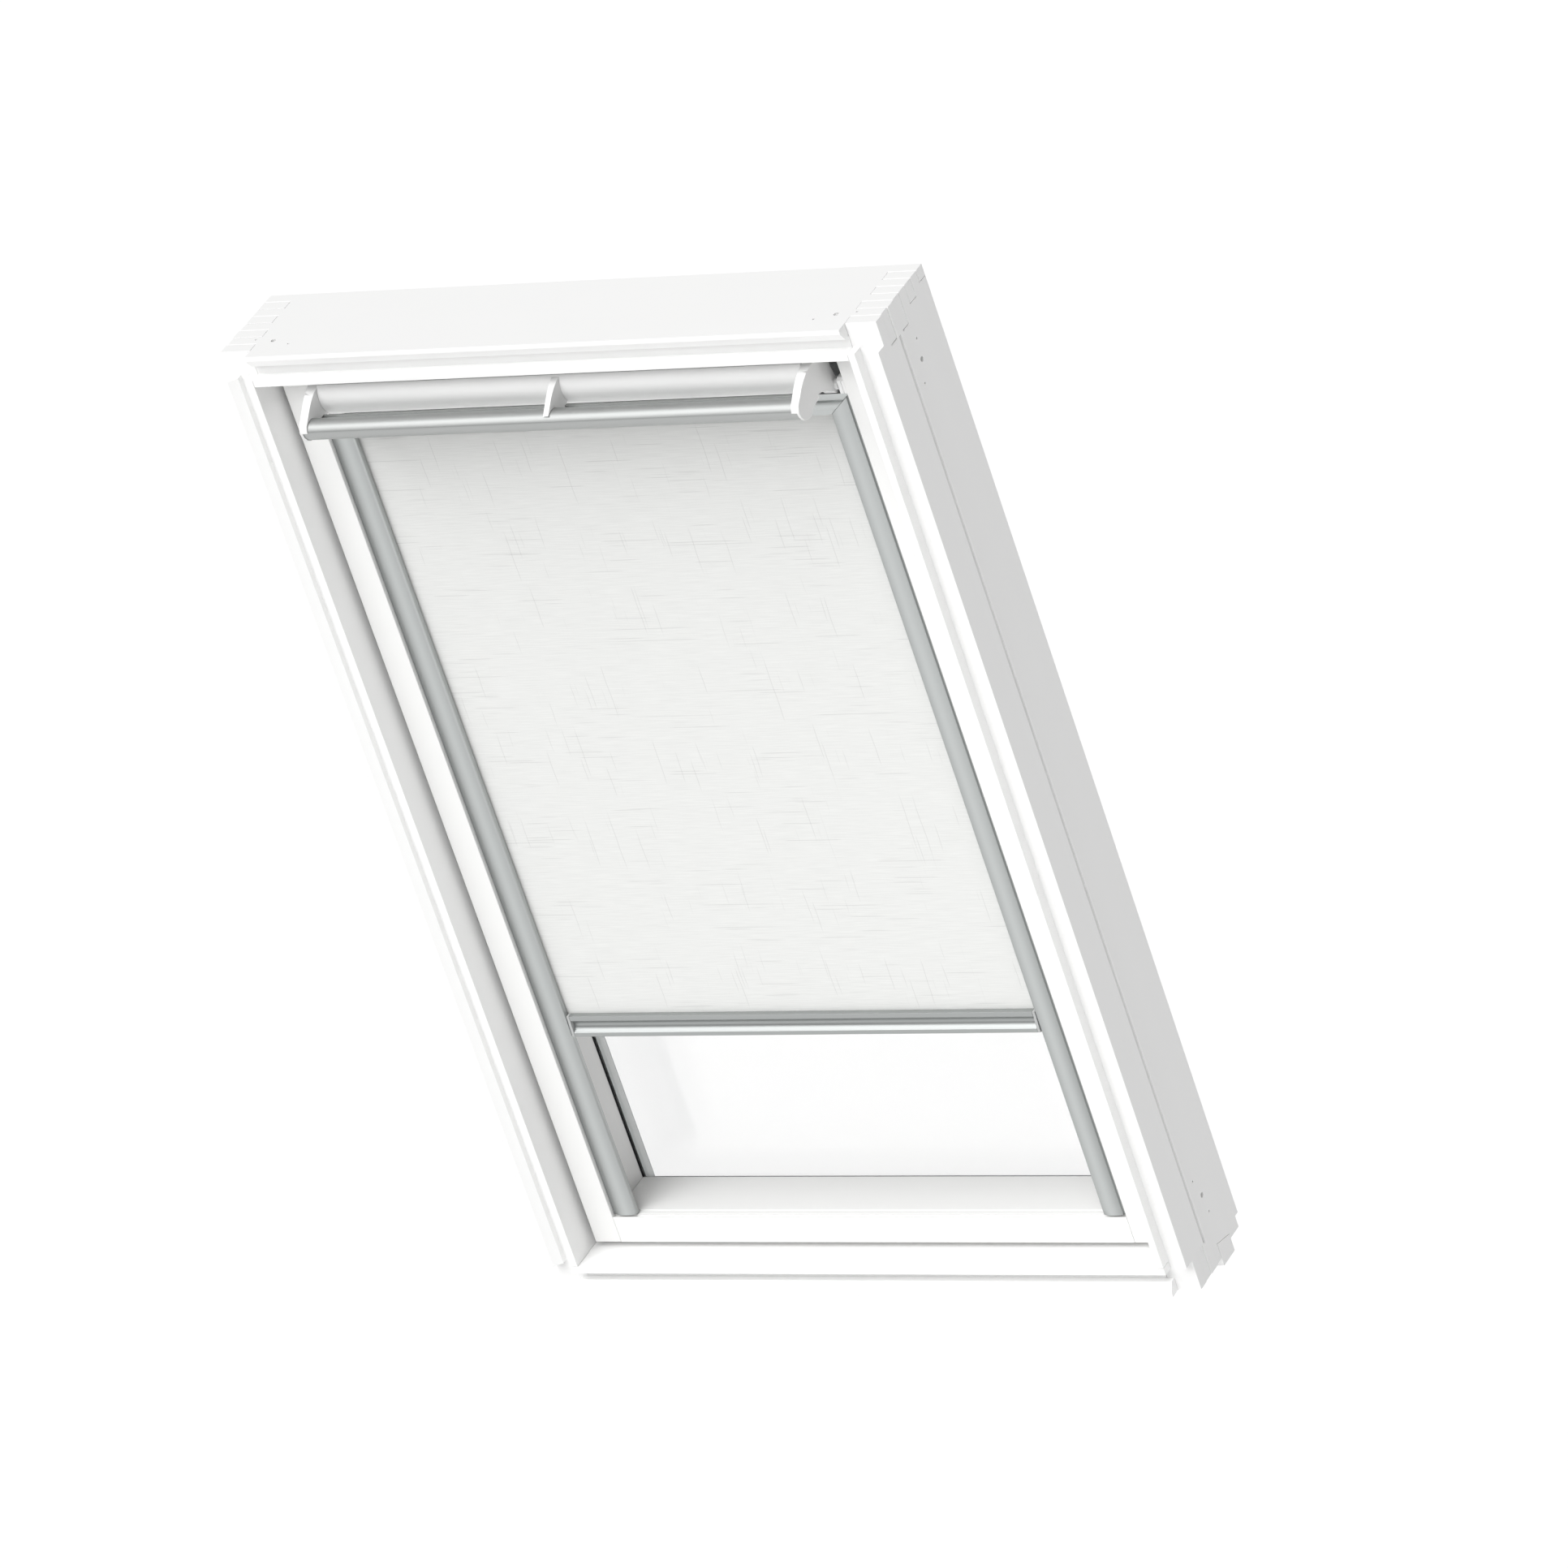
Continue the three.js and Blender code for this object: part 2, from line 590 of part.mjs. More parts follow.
// Side view of arms and bar as shares of the arm's reach, from the middle of the barrel
const fromBarrel = (shares) =>
  shares.map(([y, z]) => [barrelDepth + y * armReach, barrelHeight + z * armReach]);
const armFrontShares = [
  [-1.016, -0.152], [-0.905, -0.069], [-0.782, 0.029], [-0.644, 0.121], [-0.492, 0.19],
  [-0.347, 0.228], [-0.185, 0.24], [0, 0.23],
];
const armBackShares = [[0.12, 0.185], [0.14, 0.05], [0.15, -0.12], [0.2, -0.29]];
const archShares = [[-0.105, -0.435], [-0.198, -0.365], [-0.313, -0.315], [-0.427, -0.3]];
const barLipShares = [[-0.427, -0.274], [-0.482, -0.274], [-0.482, -0.311]];
const barTopShares = [
  [-0.605, -0.256], [-0.702, -0.179], [-0.758, -0.144], [-0.815, -0.126], [-0.879, -0.126],
  [-0.944, -0.144], [-1, -0.181],
];
const barFaceShares = [
  [-1.037, -0.24], [-1.044, -0.269], [-1.021, -0.353], [-0.969, -0.431], [-0.903, -0.477],
  [-0.831, -0.498], [-0.742, -0.477], [-0.661, -0.421],
];
const barHeelShares = [[-0.556, -0.376], [-0.427, -0.353]];
const barLoop = [...barTopShares, ...barFaceShares];
const barOutline = fromBarrel([...barLipShares, ...barLoop, ...barHeelShares]);
const armFrontCurve = new THREE.SplineCurve(
  fromBarrel(armFrontShares).map((point) => new THREE.Vector2(...point)));
const armFront = armFrontCurve.getPoints(14).map((point) => [point.x, point.y]);

// Points of a closed outline moved to its left by a distance
function offset(points, distance) {
  return points.map(([y, z], index) => {
    const [before, after] = [points.at(index - 1), points[(index + 1) % points.length]];
    const inward = new THREE.Vector2(y - before[0], z - before[1]).normalize();
    const outward = new THREE.Vector2(after[0] - y, after[1] - z).normalize();
    const reach = distance / (1 + inward.dot(outward));
    return [y - (inward.y + outward.y) * reach, z + (inward.x + outward.x) * reach];
  });
}

// Control bar: a hollow extrusion between the end caps of the outer arms
const barHalf = tipHalf - barCap - fit;
const barHollow = offset(fromBarrel(barLoop), barWall);
add("control_bar", brushed, alongX(barOutline, -barHalf, barHalf, [barHollow]));
const barWay = solid(alongX(offset(barOutline, -fit), -barHalf - fit, barHalf + fit));

// Arms: widest at the barrel, thinner towards the bar and the shaft, with curved outer sides
const taperShares = [[0.3, 0.65], [0, 0], [-0.2, 0], [-0.5, 0.62], [-0.75, 0.9], [-1.1, 1]];
function taper(side, root, tip) {
  const curve = taperShares.map(([along, thinning]) =>
    [side * (root + (tip - root) * thinning), barrelDepth + along * armReach]);
  const clear = side * (root + overrun);
  return solid(alongZ([...curve, [clear, curve.at(-1)[1]], [clear, curve[0][1]]],
    barrelHeight - armReach, barrelHeight + armReach));
}
const capOutline = offset(barOutline, -capRim).slice(barLipShares.length + barTopShares.length);
const endOutline = [
  ...armFront, ...fromBarrel(armBackShares), ...arc(hingeDepth, hingeHeight, hingeBoss, 0, -150, 12),
  ...fromBarrel(archShares), ...capOutline.reverse(),
];
for (const [label, side] of sides) {
  const inner = armHalf - armThickness;
  const hub = solid(hingeRod(webBoss, ...span(side, inner, bearingHalf - running)));
  const arm = cut(solid(alongX(endOutline, ...span(side, inner, armHalf))),
    barWay, taper(side, armHalf, tipHalf));
  add(`control_arm_${label}`, whitePlastic, cut(arm.add(hub), solid(shaftWay)));
}
const middleOutline = [...armFront, [barrelDepth, barrelHeight], ...barOutline.slice(0, 4)];
const barrelWay = rodX(barrelRadius + fit, -halfWidth, halfWidth, barrelDepth, barrelHeight, 60);
const middleHalf = middleArmThickness / 2;
add("control_arm_middle", whitePlastic, cut(
  solid(alongX(middleOutline, -middleHalf, middleHalf)), barWay, solid(barrelWay),
  ...sides.map(([, side]) => taper(side, middleHalf, middleArmTip / 2))));

// Bearing brackets on the sash stiles carry the ends of the hinge shaft
const bearingBottom = hingeHeight - hingeBoss;
for (const [label, side] of sides) {
  const body = alongX([
    [bearingFace, bearingBottom], [bearingFace + bearingDepth, bearingBottom],
    [bearingFace + bearingDepth, bearingBottom + bearingHeight],
    [bearingFace + shaftRadius, bearingBottom + bearingHeight],
    [bearingFace, bearingBottom + bearingHeight - shaftRadius],
  ], ...span(side, bearingHalf, lightHalf - fit));
  const groove = block(span(side, bearingGroovePlace, bearingGroovePlace + bearingGroove),
    [bearingFace - overrun, bearingFace + bearingGroove],
    [bearingBottom - overrun, hingeHeight + bearingHeight]);
  add(`flap_bearing_${label}`, whitePlastic, cut(solid(body), solid(groove), solid(shaftWay)));
}

// Blind side rails: a rounded face moulding and a slot for the edge of the fabric.
// The face runs on above the slotted part and is mitred to the casing.
const railOuter = lightHalf - fit;
const fasciaBack = blindFace + fasciaDepth;
const slotBand = [blindFace + railSlotDepth, blindFace + railSlotDepth + railSlotWidth];
const crownShares = [
  [0, 0.62], [0.03, 0.38], [0.1, 0.2], [0.3, 0.03], [0.5, 0], [0.7, 0.03], [0.84, 0.2], [0.88, 0.42],
  [1, 0.42],
];
const crown = crownShares.map(([across, drop]) =>
  [railInner + across * blindRailWidth, blindFace + drop * fasciaDepth]);
const slotEnd = railInner + railSlotReach;
const backWing = railInner + railBackSetback;
const railSection = [
  ...crown, [railOuter, blindFace + blindRailDepth], [backWing, blindFace + blindRailDepth],
  [backWing, slotBand[1]], [slotEnd, slotBand[1]], [slotEnd, slotBand[0]], [railInner, slotBand[0]],
];
const mirrored = (points, side) => points.map(([x, along]) => [side * x, along]);
const aboveMitre = [
  [railInner - overrun, casingBottom], [railInner, casingBottom], [railOuter, blindTop],
  [railOuter + overrun, blindTop], [railOuter + overrun, blindTop + overrun],
  [railInner - overrun, blindTop + overrun],
];
for (const [label, side] of sides) {
  const body = alongZ(mirrored(railSection, side), lightBottom + railRise + fit, blindTop);
  const chamber = block(span(side, railInner - overrun, railOuter + overrun),
    [fasciaBack, blindFace + blindRailDepth + overrun], [chamberBottom - fit, blindTop + overrun]);
  const mitre = alongY(mirrored(aboveMitre, side), blindFace - overrun, fasciaBack + overrun);
  add(`blind_rail_${label}`, silver, cut(solid(body), solid(chamber), solid(mitre)));
}

// Top casing: a banded fascia in front of the round chamber that holds the roller
const fasciaShares = [
  [0.42, 0], [0.42, 0.28], [0.12, 0.31], [0, 0.42], [0, 0.55], [0.12, 0.65], [0.42, 0.68], [0.42, 1],
];
const fascia = fasciaShares.map(([drop, rise]) =>
  [blindFace + drop * fasciaDepth, casingBottom + rise * fasciaHeight]);
const slotFront = fasciaBack + running;
const chamberBack = rollerDepth + rollSpace + casingBackWall;
const casingSection = [
  [chamberBack, blindTop], [chamberBack, chamberBottom], [slotBand[1], chamberBottom],
  ...arc(rollerDepth, rollerHeight, rollSpace, -126, 195, 24), [slotFront, casingBottom], ...fascia,
];
const belowMitre = [
  [railInner - fit, casingBottom - overrun], [railInner - fit, casingBottom], [railOuter, blindTop + fit],
  [railOuter + overrun, blindTop + fit], [railOuter + overrun, casingBottom - overrun],
];
add("blind_casing", silver, cut(
  solid(alongX(casingSection, -railOuter, railOuter)),
  ...sides.map(([, side]) => solid(alongY(mirrored(belowMitre, side), blindFace - overrun, slotFront)))));

// Roller: a tube with a plug in each end, and the first turns of fabric round it
const rollerRod = (radius, from, to) => rodX(radius, from, to, rollerDepth, rollerHeight);
const rollerRing = (outer, inner) => alongX(
  circle(rollerDepth, rollerHeight, outer, 24), -fabricHalf, fabricHalf,
  [circle(rollerDepth, rollerHeight, inner, 24)]);
add("roller_tube", silver, rollerRing(tubeRadius, tubeRadius - tubeWall));
add("fabric_roll", fabricCloth, rollerRing(rollRadius - fabricThickness - fit, tubeRadius + fit));
const plugEnd = fabricHalf + fit + plugFlange;
const bracketInner = plugEnd + running;
const plugBore = rollerRod(axleRadius + fit, -halfWidth, halfWidth);
for (const [label, side] of sides) {
  const body = rollerRod(tubeRadius - tubeWall - fit, ...span(side, fabricHalf - plugLength, plugEnd));
  const flange = rollerRod(tubeRadius, ...span(side, fabricHalf + fit, plugEnd));
  add(`roller_plug_${label}`, greyPlastic, cut(join(body, flange), solid(plugBore)));
  const plate = rollerRod(rollSpace - fit, ...span(side, bracketInner, bracketInner + bracketThickness));
  const axleEnd = side > 0 ? fabricHalf - plugLength : fabricHalf - springLength - 2 * plugLength;
  const axle = rollerRod(axleRadius, ...span(side, axleEnd, bracketInner + fit));
  add(`roller_bracket_${label}`, steel, join(plate, axle));
}

// Return spring, wound round the long axle of the left bracket
class Coil extends THREE.Curve {
  getPoint(share) {
    const angle = 2 * Math.PI * springTurns * share;
    return new THREE.Vector3(
      springLength * share, springRadius * Math.cos(angle), springRadius * Math.sin(angle));
  }
}
const coil = new Coil();
const coilPoints = coil.getPoints(8 * springTurns);
const springGaps = coilPoints.flatMap((point, index) =>
  coilPoints.slice(index + 4).map((other) => point.distanceTo(other) - 2 * springWire));
console.log(`Least gap of the spring to itself: ${Math.min(...springGaps).toFixed(1)} mm`);
const springGeometry = new THREE.ExtrudeGeometry(outline(circle(0, 0, springWire, 5)),
  { steps: 8 * springTurns, bevelEnabled: false, extrudePath: coil });
springGeometry.translate(plugLength + fit + springWire - fabricHalf, rollerDepth, rollerHeight);
add("roller_spring", steel, springGeometry);

// Bottom bar with its concave finger channel, a slot for the hem and a hollow back
const barBack = barFront + barDepth;
const barTop = barRest + barHeight;
const bandBottom = barTop - barBand;
const bandFace = barFront + barBandSetback;
const lipTop = barRest + barLip;
const channelShares = [
  [0.12, 0.04], [0.62, 0.16], [0.93, 0.34], [1, 0.5], [0.93, 0.66], [0.62, 0.84], [0.12, 0.96],
];
const channel = channelShares.map(([depth, rise]) =>
  [barFront + depth * channelDepth, lipTop + rise * (bandBottom - lipTop)]);
const hemBand = [fabricPlane - hemSlot / 2, fabricPlane + hemSlot / 2];
const hemBottom = barTop - hemDepth;
const bottomBarSection = [
  [barFront, barRest], [barFront, lipTop], ...channel, [bandFace, bandBottom], [bandFace, barTop],
  [hemBand[0], barTop], [hemBand[0], hemBottom], [hemBand[1], hemBottom], [hemBand[1], barTop],
  [barBack, barTop], [barBack, barRest],
];
const hollowFront = barFront + channelDepth + barWall;
const bottomBarHollow = [
  [hollowFront, barRest + barWall], [barBack - barWall, barRest + barWall],
  [barBack - barWall, hemBottom - barWall], [hollowFront, hemBottom - barWall],
];
const bottomHalf = railInner - running - barEnd - fit;
add("bottom_bar", silver, alongX(bottomBarSection, -bottomHalf, bottomHalf, [bottomBarHollow]));

// End plugs of the bottom bar, each with a tongue that runs in the rail slot
const hemWay = block([-halfWidth, halfWidth], hemBand, [hemBottom, barTop + overrun]);
for (const [label, side] of sides) {
  const plug = alongX([
    [barFront, barRest], [barFront, lipTop], [bandFace, bandBottom], [bandFace, barTop], [barBack, barTop],
    [barBack, barRest],
  ], ...span(side, bottomHalf + fit, railInner - running));
  const tongue = block(span(side, bottomHalf + 2 * fit, slotEnd - 2 * running), widen(slotBand, -running),
    [barRest, hemBottom]);
  add(`bar_end_${label}`, greyPlastic, cut(join(plug, tongue), solid(hemWay)));
}

// Fabric from the hem in the bottom bar up to the roller
add("blind_fabric", fabricCloth, block([-fabricHalf, fabricHalf],
  [fabricPlane - fabricThickness / 2, fabricPlane + fabricThickness / 2], [hemBottom + fit, rollerHeight]));

export default roofWindow;
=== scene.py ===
import json
import math

import bmesh
import bpy
from bpy.props import FloatProperty, FloatVectorProperty, PointerProperty
from mathutils import Matrix, Vector

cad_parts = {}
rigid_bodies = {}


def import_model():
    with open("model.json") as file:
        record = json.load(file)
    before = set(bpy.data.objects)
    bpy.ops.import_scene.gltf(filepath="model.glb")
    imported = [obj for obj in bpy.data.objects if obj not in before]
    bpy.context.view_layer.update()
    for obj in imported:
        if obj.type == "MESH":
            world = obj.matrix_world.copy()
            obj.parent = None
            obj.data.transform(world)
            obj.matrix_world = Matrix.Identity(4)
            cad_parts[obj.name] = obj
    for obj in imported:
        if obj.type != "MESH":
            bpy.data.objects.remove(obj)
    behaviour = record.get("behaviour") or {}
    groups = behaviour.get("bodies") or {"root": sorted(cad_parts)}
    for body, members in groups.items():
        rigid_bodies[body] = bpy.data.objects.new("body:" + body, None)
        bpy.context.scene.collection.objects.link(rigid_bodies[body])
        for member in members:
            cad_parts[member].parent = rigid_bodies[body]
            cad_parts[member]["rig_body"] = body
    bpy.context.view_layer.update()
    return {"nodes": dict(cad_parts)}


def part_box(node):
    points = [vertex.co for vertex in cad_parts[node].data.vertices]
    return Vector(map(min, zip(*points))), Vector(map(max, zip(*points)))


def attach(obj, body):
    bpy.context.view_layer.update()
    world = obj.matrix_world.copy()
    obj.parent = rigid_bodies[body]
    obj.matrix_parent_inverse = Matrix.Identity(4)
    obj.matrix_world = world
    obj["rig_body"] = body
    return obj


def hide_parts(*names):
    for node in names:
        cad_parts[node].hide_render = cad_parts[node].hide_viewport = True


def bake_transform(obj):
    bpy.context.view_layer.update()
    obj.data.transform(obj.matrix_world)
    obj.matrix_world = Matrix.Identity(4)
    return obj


bl_info = {
    "name": "Roof Window with Roller Blind",
    "version": (1, 0, 0),
    "blender": (4, 5, 0),
    "location": "View3D > Sidebar > Roof Window",
    "description": "Lacquer, metals, glass, cloth, screws and studio for a roof window with its blind",
    "category": "Object",
}

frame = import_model()

# All lengths are in metres
MM = 0.001

# Points nearer than MERGE are one point. On pieces with round stretches it is FINE, which closes up their
# finest facets
MERGE = 0.001 * MM
FINE = 0.3 * MM

# Faces that turn less than FLAT make one face, edges over SHARP are rounded, and edges over CREASE still
# show as creases. An edge shorter than SHORT_EDGE times its radius stays as it is
FLAT = math.radians(0.5)
SHARP = math.radians(30)
CREASE = math.radians(50)
SHORT_EDGE = 2.5
EDGE_SEGMENTS = 2
ROUND_PROFILE = 0.5

# The end arms' rims are cut away in front of the control bar, up to the height of its nose. The cut runs
# in from the bar's ends to this share of its half length. It goes this far past the bar's front and foot,
# and stops as far short of its back
BAR_NOSE = 1102 * MM
CUT_END_SHARE = 0.9
CUT_ROOM = 2 * MM

# The pins reach this far out of the hinge plates
HINGE_PIN = 6.6 * MM

# A screw head narrows to this share of its radius, and this share of its depth is sunk. The recess is
# centred on its top, so half of the recess's share of the depth is cut out of it
HEAD_TAPER_SHARE = 0.82
SUNK_SHARE = 0.5
RECESS_SHARE = 0.8
HEAD_SIDES = 24
RECESS_SIDES = 6

# Screws in a side cover, and the share of its length that the end ones are in from its ends
COVER_SCREWS = 6
COVER_END_SHARE = 0.05

# Distances of a blind rail's inner edge, crest and outer edge from the window's middle, over which a
# highlight and shade are painted across its rounded front
RAIL_PAINTED_HIGHLIGHT = (285 * MM, 297 * MM, 315 * MM)

# Places of the axes in a vector
ACROSS = 0
UPRIGHT = 2

# The cloth's chart, and the attribute that turns each screw
CLOTH_CHART = "cloth"
FACING = "facing"

# The camera sees as far as this many times the floor's reach
SIGHT = 4


# Nodes

def feed(tree, node, values):
    """Sets the inputs of a node, by name or by place, or links them where the value is a socket."""
    for key, value in values.items():
        value = getattr(value, "socket", value)
        if isinstance(value, bpy.types.NodeSocket):
            tree.links.new(value, node.inputs[key])
        else:
            node.inputs[key].default_value = value


def added(tree, kind, settings, values):
    """Adds a node of that kind, and sets its settings and then its inputs."""
    node = tree.nodes.new(kind)
    for key, value in settings.items():
        setattr(node, key, value)
    feed(tree, node, values)
    return node


# Finishes

class Number:
    """A value that varies over a surface. Sums and products of numbers add their Math nodes."""

    def __init__(self, finish, socket):
        self.finish = finish
        self.socket = socket

    def math(self, operation, *values):
        return Number(self.finish, self.finish.node(
            "ShaderNodeMath", {"operation": operation}, dict(enumerate(values))).outputs[0])

    def __add__(self, other):
        return self.math("ADD", self, other)

    def __sub__(self, other):
        return self.math("SUBTRACT", self, other)

    def __rsub__(self, other):
        return self.math("SUBTRACT", other, self)

    def __mul__(self, other):
        return self.math("MULTIPLY", self, other)

    __radd__ = __add__
    __rmul__ = __mul__

    def absolute(self):
        return self.math("ABSOLUTE", self)

    def floor(self):
        return self.math("FLOOR", self)

    def fraction(self):
        return self.math("FRACT", self)

    def sine(self):
        return self.math("SINE", self)

    def ramp(self, low, high):
        """0 below low, 1 above high and smooth between them."""
        values = {"Value": self, "From Min": low, "From Max": high}
        node = self.finish.node("ShaderNodeMapRange", {"interpolation_type": "SMOOTHSTEP"}, values)
        return Number(self.finish, node.outputs["Result"])


class Finish:
    """A node material with one principled shader, and the patterns that the finishes share."""

    def __init__(self, name, **sockets):
        self.material = bpy.data.materials.new(name)
        self.material.use_nodes = True
        self.tree = self.material.node_tree
        self.shader = self.tree.nodes["Principled BSDF"]
        self.shade({key.replace("_", " "): value for key, value in sockets.items()})

    def shade(self, values):
        """Sets or links the inputs of the shader."""
        feed(self.tree, self.shader, values)

    def node(self, kind, settings, values):
        """Adds a node of that kind, and sets its settings and then its inputs."""
        return added(self.tree, kind, settings, values)

    def where(self):
        return self.node("ShaderNodeTexCoord", {}, {}).outputs["Object"]

    def axis(self, index):
        """One of the object coordinates, in metres."""
        return Number(self, self.node("ShaderNodeSeparateXYZ", {}, {0: self.where()}).outputs[index])

    def place(self, cells, axis=None, lengthwise=None):
        """Object coordinates in cells per metre, with another count of cells along one axis if given."""
        scale = [cells] * 3
        if axis is not None:
            scale[axis] = lengthwise
        return self.node("ShaderNodeMapping", {}, {"Vector": self.where(), "Scale": scale}).outputs[0]

    def noise(self, vector, detail=2.0):
        values = {"Vector": vector, "Scale": 1.0, "Detail": detail}
        return Number(self, self.node("ShaderNodeTexNoise", {}, values).outputs["Fac"])

    def cells(self, vector):
        """The distance from the middle of the nearest cell."""
        values = {"Vector": vector, "Scale": 1.0}
        return Number(self, self.node("ShaderNodeTexVoronoi", {}, values).outputs["Distance"])

    def tint(self, share, low, high):
        """A colour between low, where share is 0, and high, where it is 1."""
        factor, first, second, result = 0, 6, 7, 2
        values = {factor: share, first: opaque(low), second: opaque(high)}
        return self.node("ShaderNodeMix", {"data_type": "RGBA"}, values).outputs[result]

    def relief(self, height, depth):
        """Raises the surface by height times depth, in metres, and gives its normal to the shader."""
        bump = self.node("ShaderNodeBump", {}, {"Height": height, "Distance": depth})
        self.shade({"Normal": bump.outputs[0]})


def shaded(color, share):
    """That share of a colour."""
    return tuple(share * channel for channel in color)


def opaque(color):
    """A colour with its alpha. A socket stays as it is."""
    return color if isinstance(color, bpy.types.NodeSocket) else (*color, 1)


def grained(name, color, along):
    """White lacquer over pine: a faint orange peel, and the wood's grain just showing through."""
    finish = Finish(name, Coat_Weight=0.12, Coat_Roughness=0.2)
    grain = finish.noise(finish.place(cells=70.0, axis=along, lengthwise=3.0), detail=4.0)
    peel = finish.noise(finish.place(cells=420.0), detail=1.0)
    cloud = finish.noise(finish.place(cells=9.0))
    finish.shade({
        "Base Color": finish.tint(0.6 * grain + 0.4 * cloud, shaded(color, 0.99), color),
        "Roughness": 0.34 + 0.08 * peel + 0.06 * cloud,
    })
    finish.relief(0.7 * grain + 0.3 * peel, depth=0.015 * MM)
    return finish.material


def moulded(name, color, roughness, pits):
    """Injection-moulded plastic with a fine spark-eroded texture of that many pits per metre."""
    finish = Finish(name)
    spark = finish.noise(finish.place(cells=pits), detail=3.0)
    flow = finish.noise(finish.place(cells=14.0))
    finish.shade({
        "Base Color": finish.tint(flow, shaded(color, 0.97), color),
        "Roughness": roughness + 0.1 * spark,
    })
    finish.relief(spark, depth=0.02 * MM)
    return finish.material


def drawn(name, color, roughness, along, metal=0.9, painted_highlight=None):
    """Drawn and anodised aluminium: fine die lines run along the piece under a satin film.

    A painted highlight of inner edge, crest and outer edge, as distances from the window's middle, paints
    the colour lightest on the crest and darker towards the outer edge: painted highlight and painted shade."""
    finish = Finish(name, Metallic=metal)
    lines = finish.noise(finish.place(cells=1500.0, axis=along, lengthwise=4.0))
    cloud = finish.noise(finish.place(cells=6.0), detail=1.0)
    tone, low = 0.7 * lines + 0.3 * cloud, shaded(color, 0.96)
    # Painted highlight and shade: the colour is lightest on the crest and falls to half of it at the outer
    # edge, standing in for light on the rail's rounded front
    if painted_highlight:
        inner, crest, outer = painted_highlight
        offset = finish.axis(ACROSS).absolute()
        rise, fall = offset.ramp(inner, crest), offset.ramp(crest, outer)
        tone, low = 0.5 + 0.1 * tone + 0.4 * rise - 0.8 * fall, shaded(color, 0.5)
    finish.shade({
        "Base Color": finish.tint(tone, low, color),
        "Roughness": roughness + 0.12 * lines,
    })
    finish.relief(lines, depth=0.003 * MM)
    return finish.material


def coated_sheet(name, color):
    """Coil-coated aluminium sheet: fine speckled lacquer."""
    finish = Finish(name, Metallic=0.25, Coat_Weight=0.1)
    speckle = finish.noise(finish.place(cells=900.0))
    cloud = finish.noise(finish.place(cells=11.0))
    finish.shade({
        "Base Color": finish.tint(speckle, shaded(color, 0.85), color),
        "Roughness": 0.42 + 0.12 * speckle + 0.08 * cloud,
    })
    finish.relief(speckle, depth=0.02 * MM)
    return finish.material


def zinc(name, color):
    """Zinc-plated steel: pale crystal patches with a satin shine."""
    finish = Finish(name, Metallic=1.0)
    crystal = finish.cells(finish.place(cells=260.0))
    rubbed = finish.noise(finish.place(cells=35.0, axis=UPRIGHT, lengthwise=600.0))
    finish.shade({
        "Base Color": finish.tint(crystal, shaded(color, 0.86), color),
        "Roughness": 0.3 + 0.16 * crystal + 0.08 * rubbed,
    })
    finish.relief(0.5 * crystal + 0.5 * rubbed, depth=0.006 * MM)
    return finish.material


def rubber(name, color):
    """Extruded rubber, dull with a faint bloom."""
    finish = Finish(name)
    bloom = finish.noise(finish.place(cells=60.0), detail=4.0)
    pores = finish.noise(finish.place(cells=1800.0), detail=1.0)
    finish.shade({
        "Base Color": finish.tint(bloom, color, shaded(color, 1.8)),
        "Roughness": 0.68 + 0.18 * bloom,
    })
    finish.relief(pores, depth=0.02 * MM)
    return finish.material


def glazed(name, color):
    """Float glass with a hardly visible waviness. It lets most of the light straight through."""
    finish = Finish(name, Transmission_Weight=1.0, IOR=1.5, Alpha=0.1)
    wave = finish.noise(finish.place(cells=7.0), detail=1.0)
    clear = (1.0, 1.0, 1.0)
    finish.shade({"Base Color": finish.tint(wave, color, clear), "Roughness": 0.01 + 0.01 * wave})
    finish.relief(wave, depth=0.01 * MM)
    return finish.material


def foamed(name, color):
    """Open filter foam."""
    finish = Finish(name)
    pores = finish.cells(finish.place(cells=700.0))
    finish.shade({
        "Base Color": finish.tint(pores.ramp(0.1, 0.5), shaded(color, 0.75), color),
        "Roughness": 0.9 + 0.1 * pores,
    })
    finish.relief(pores, depth=0.08 * MM)
    return finish.material


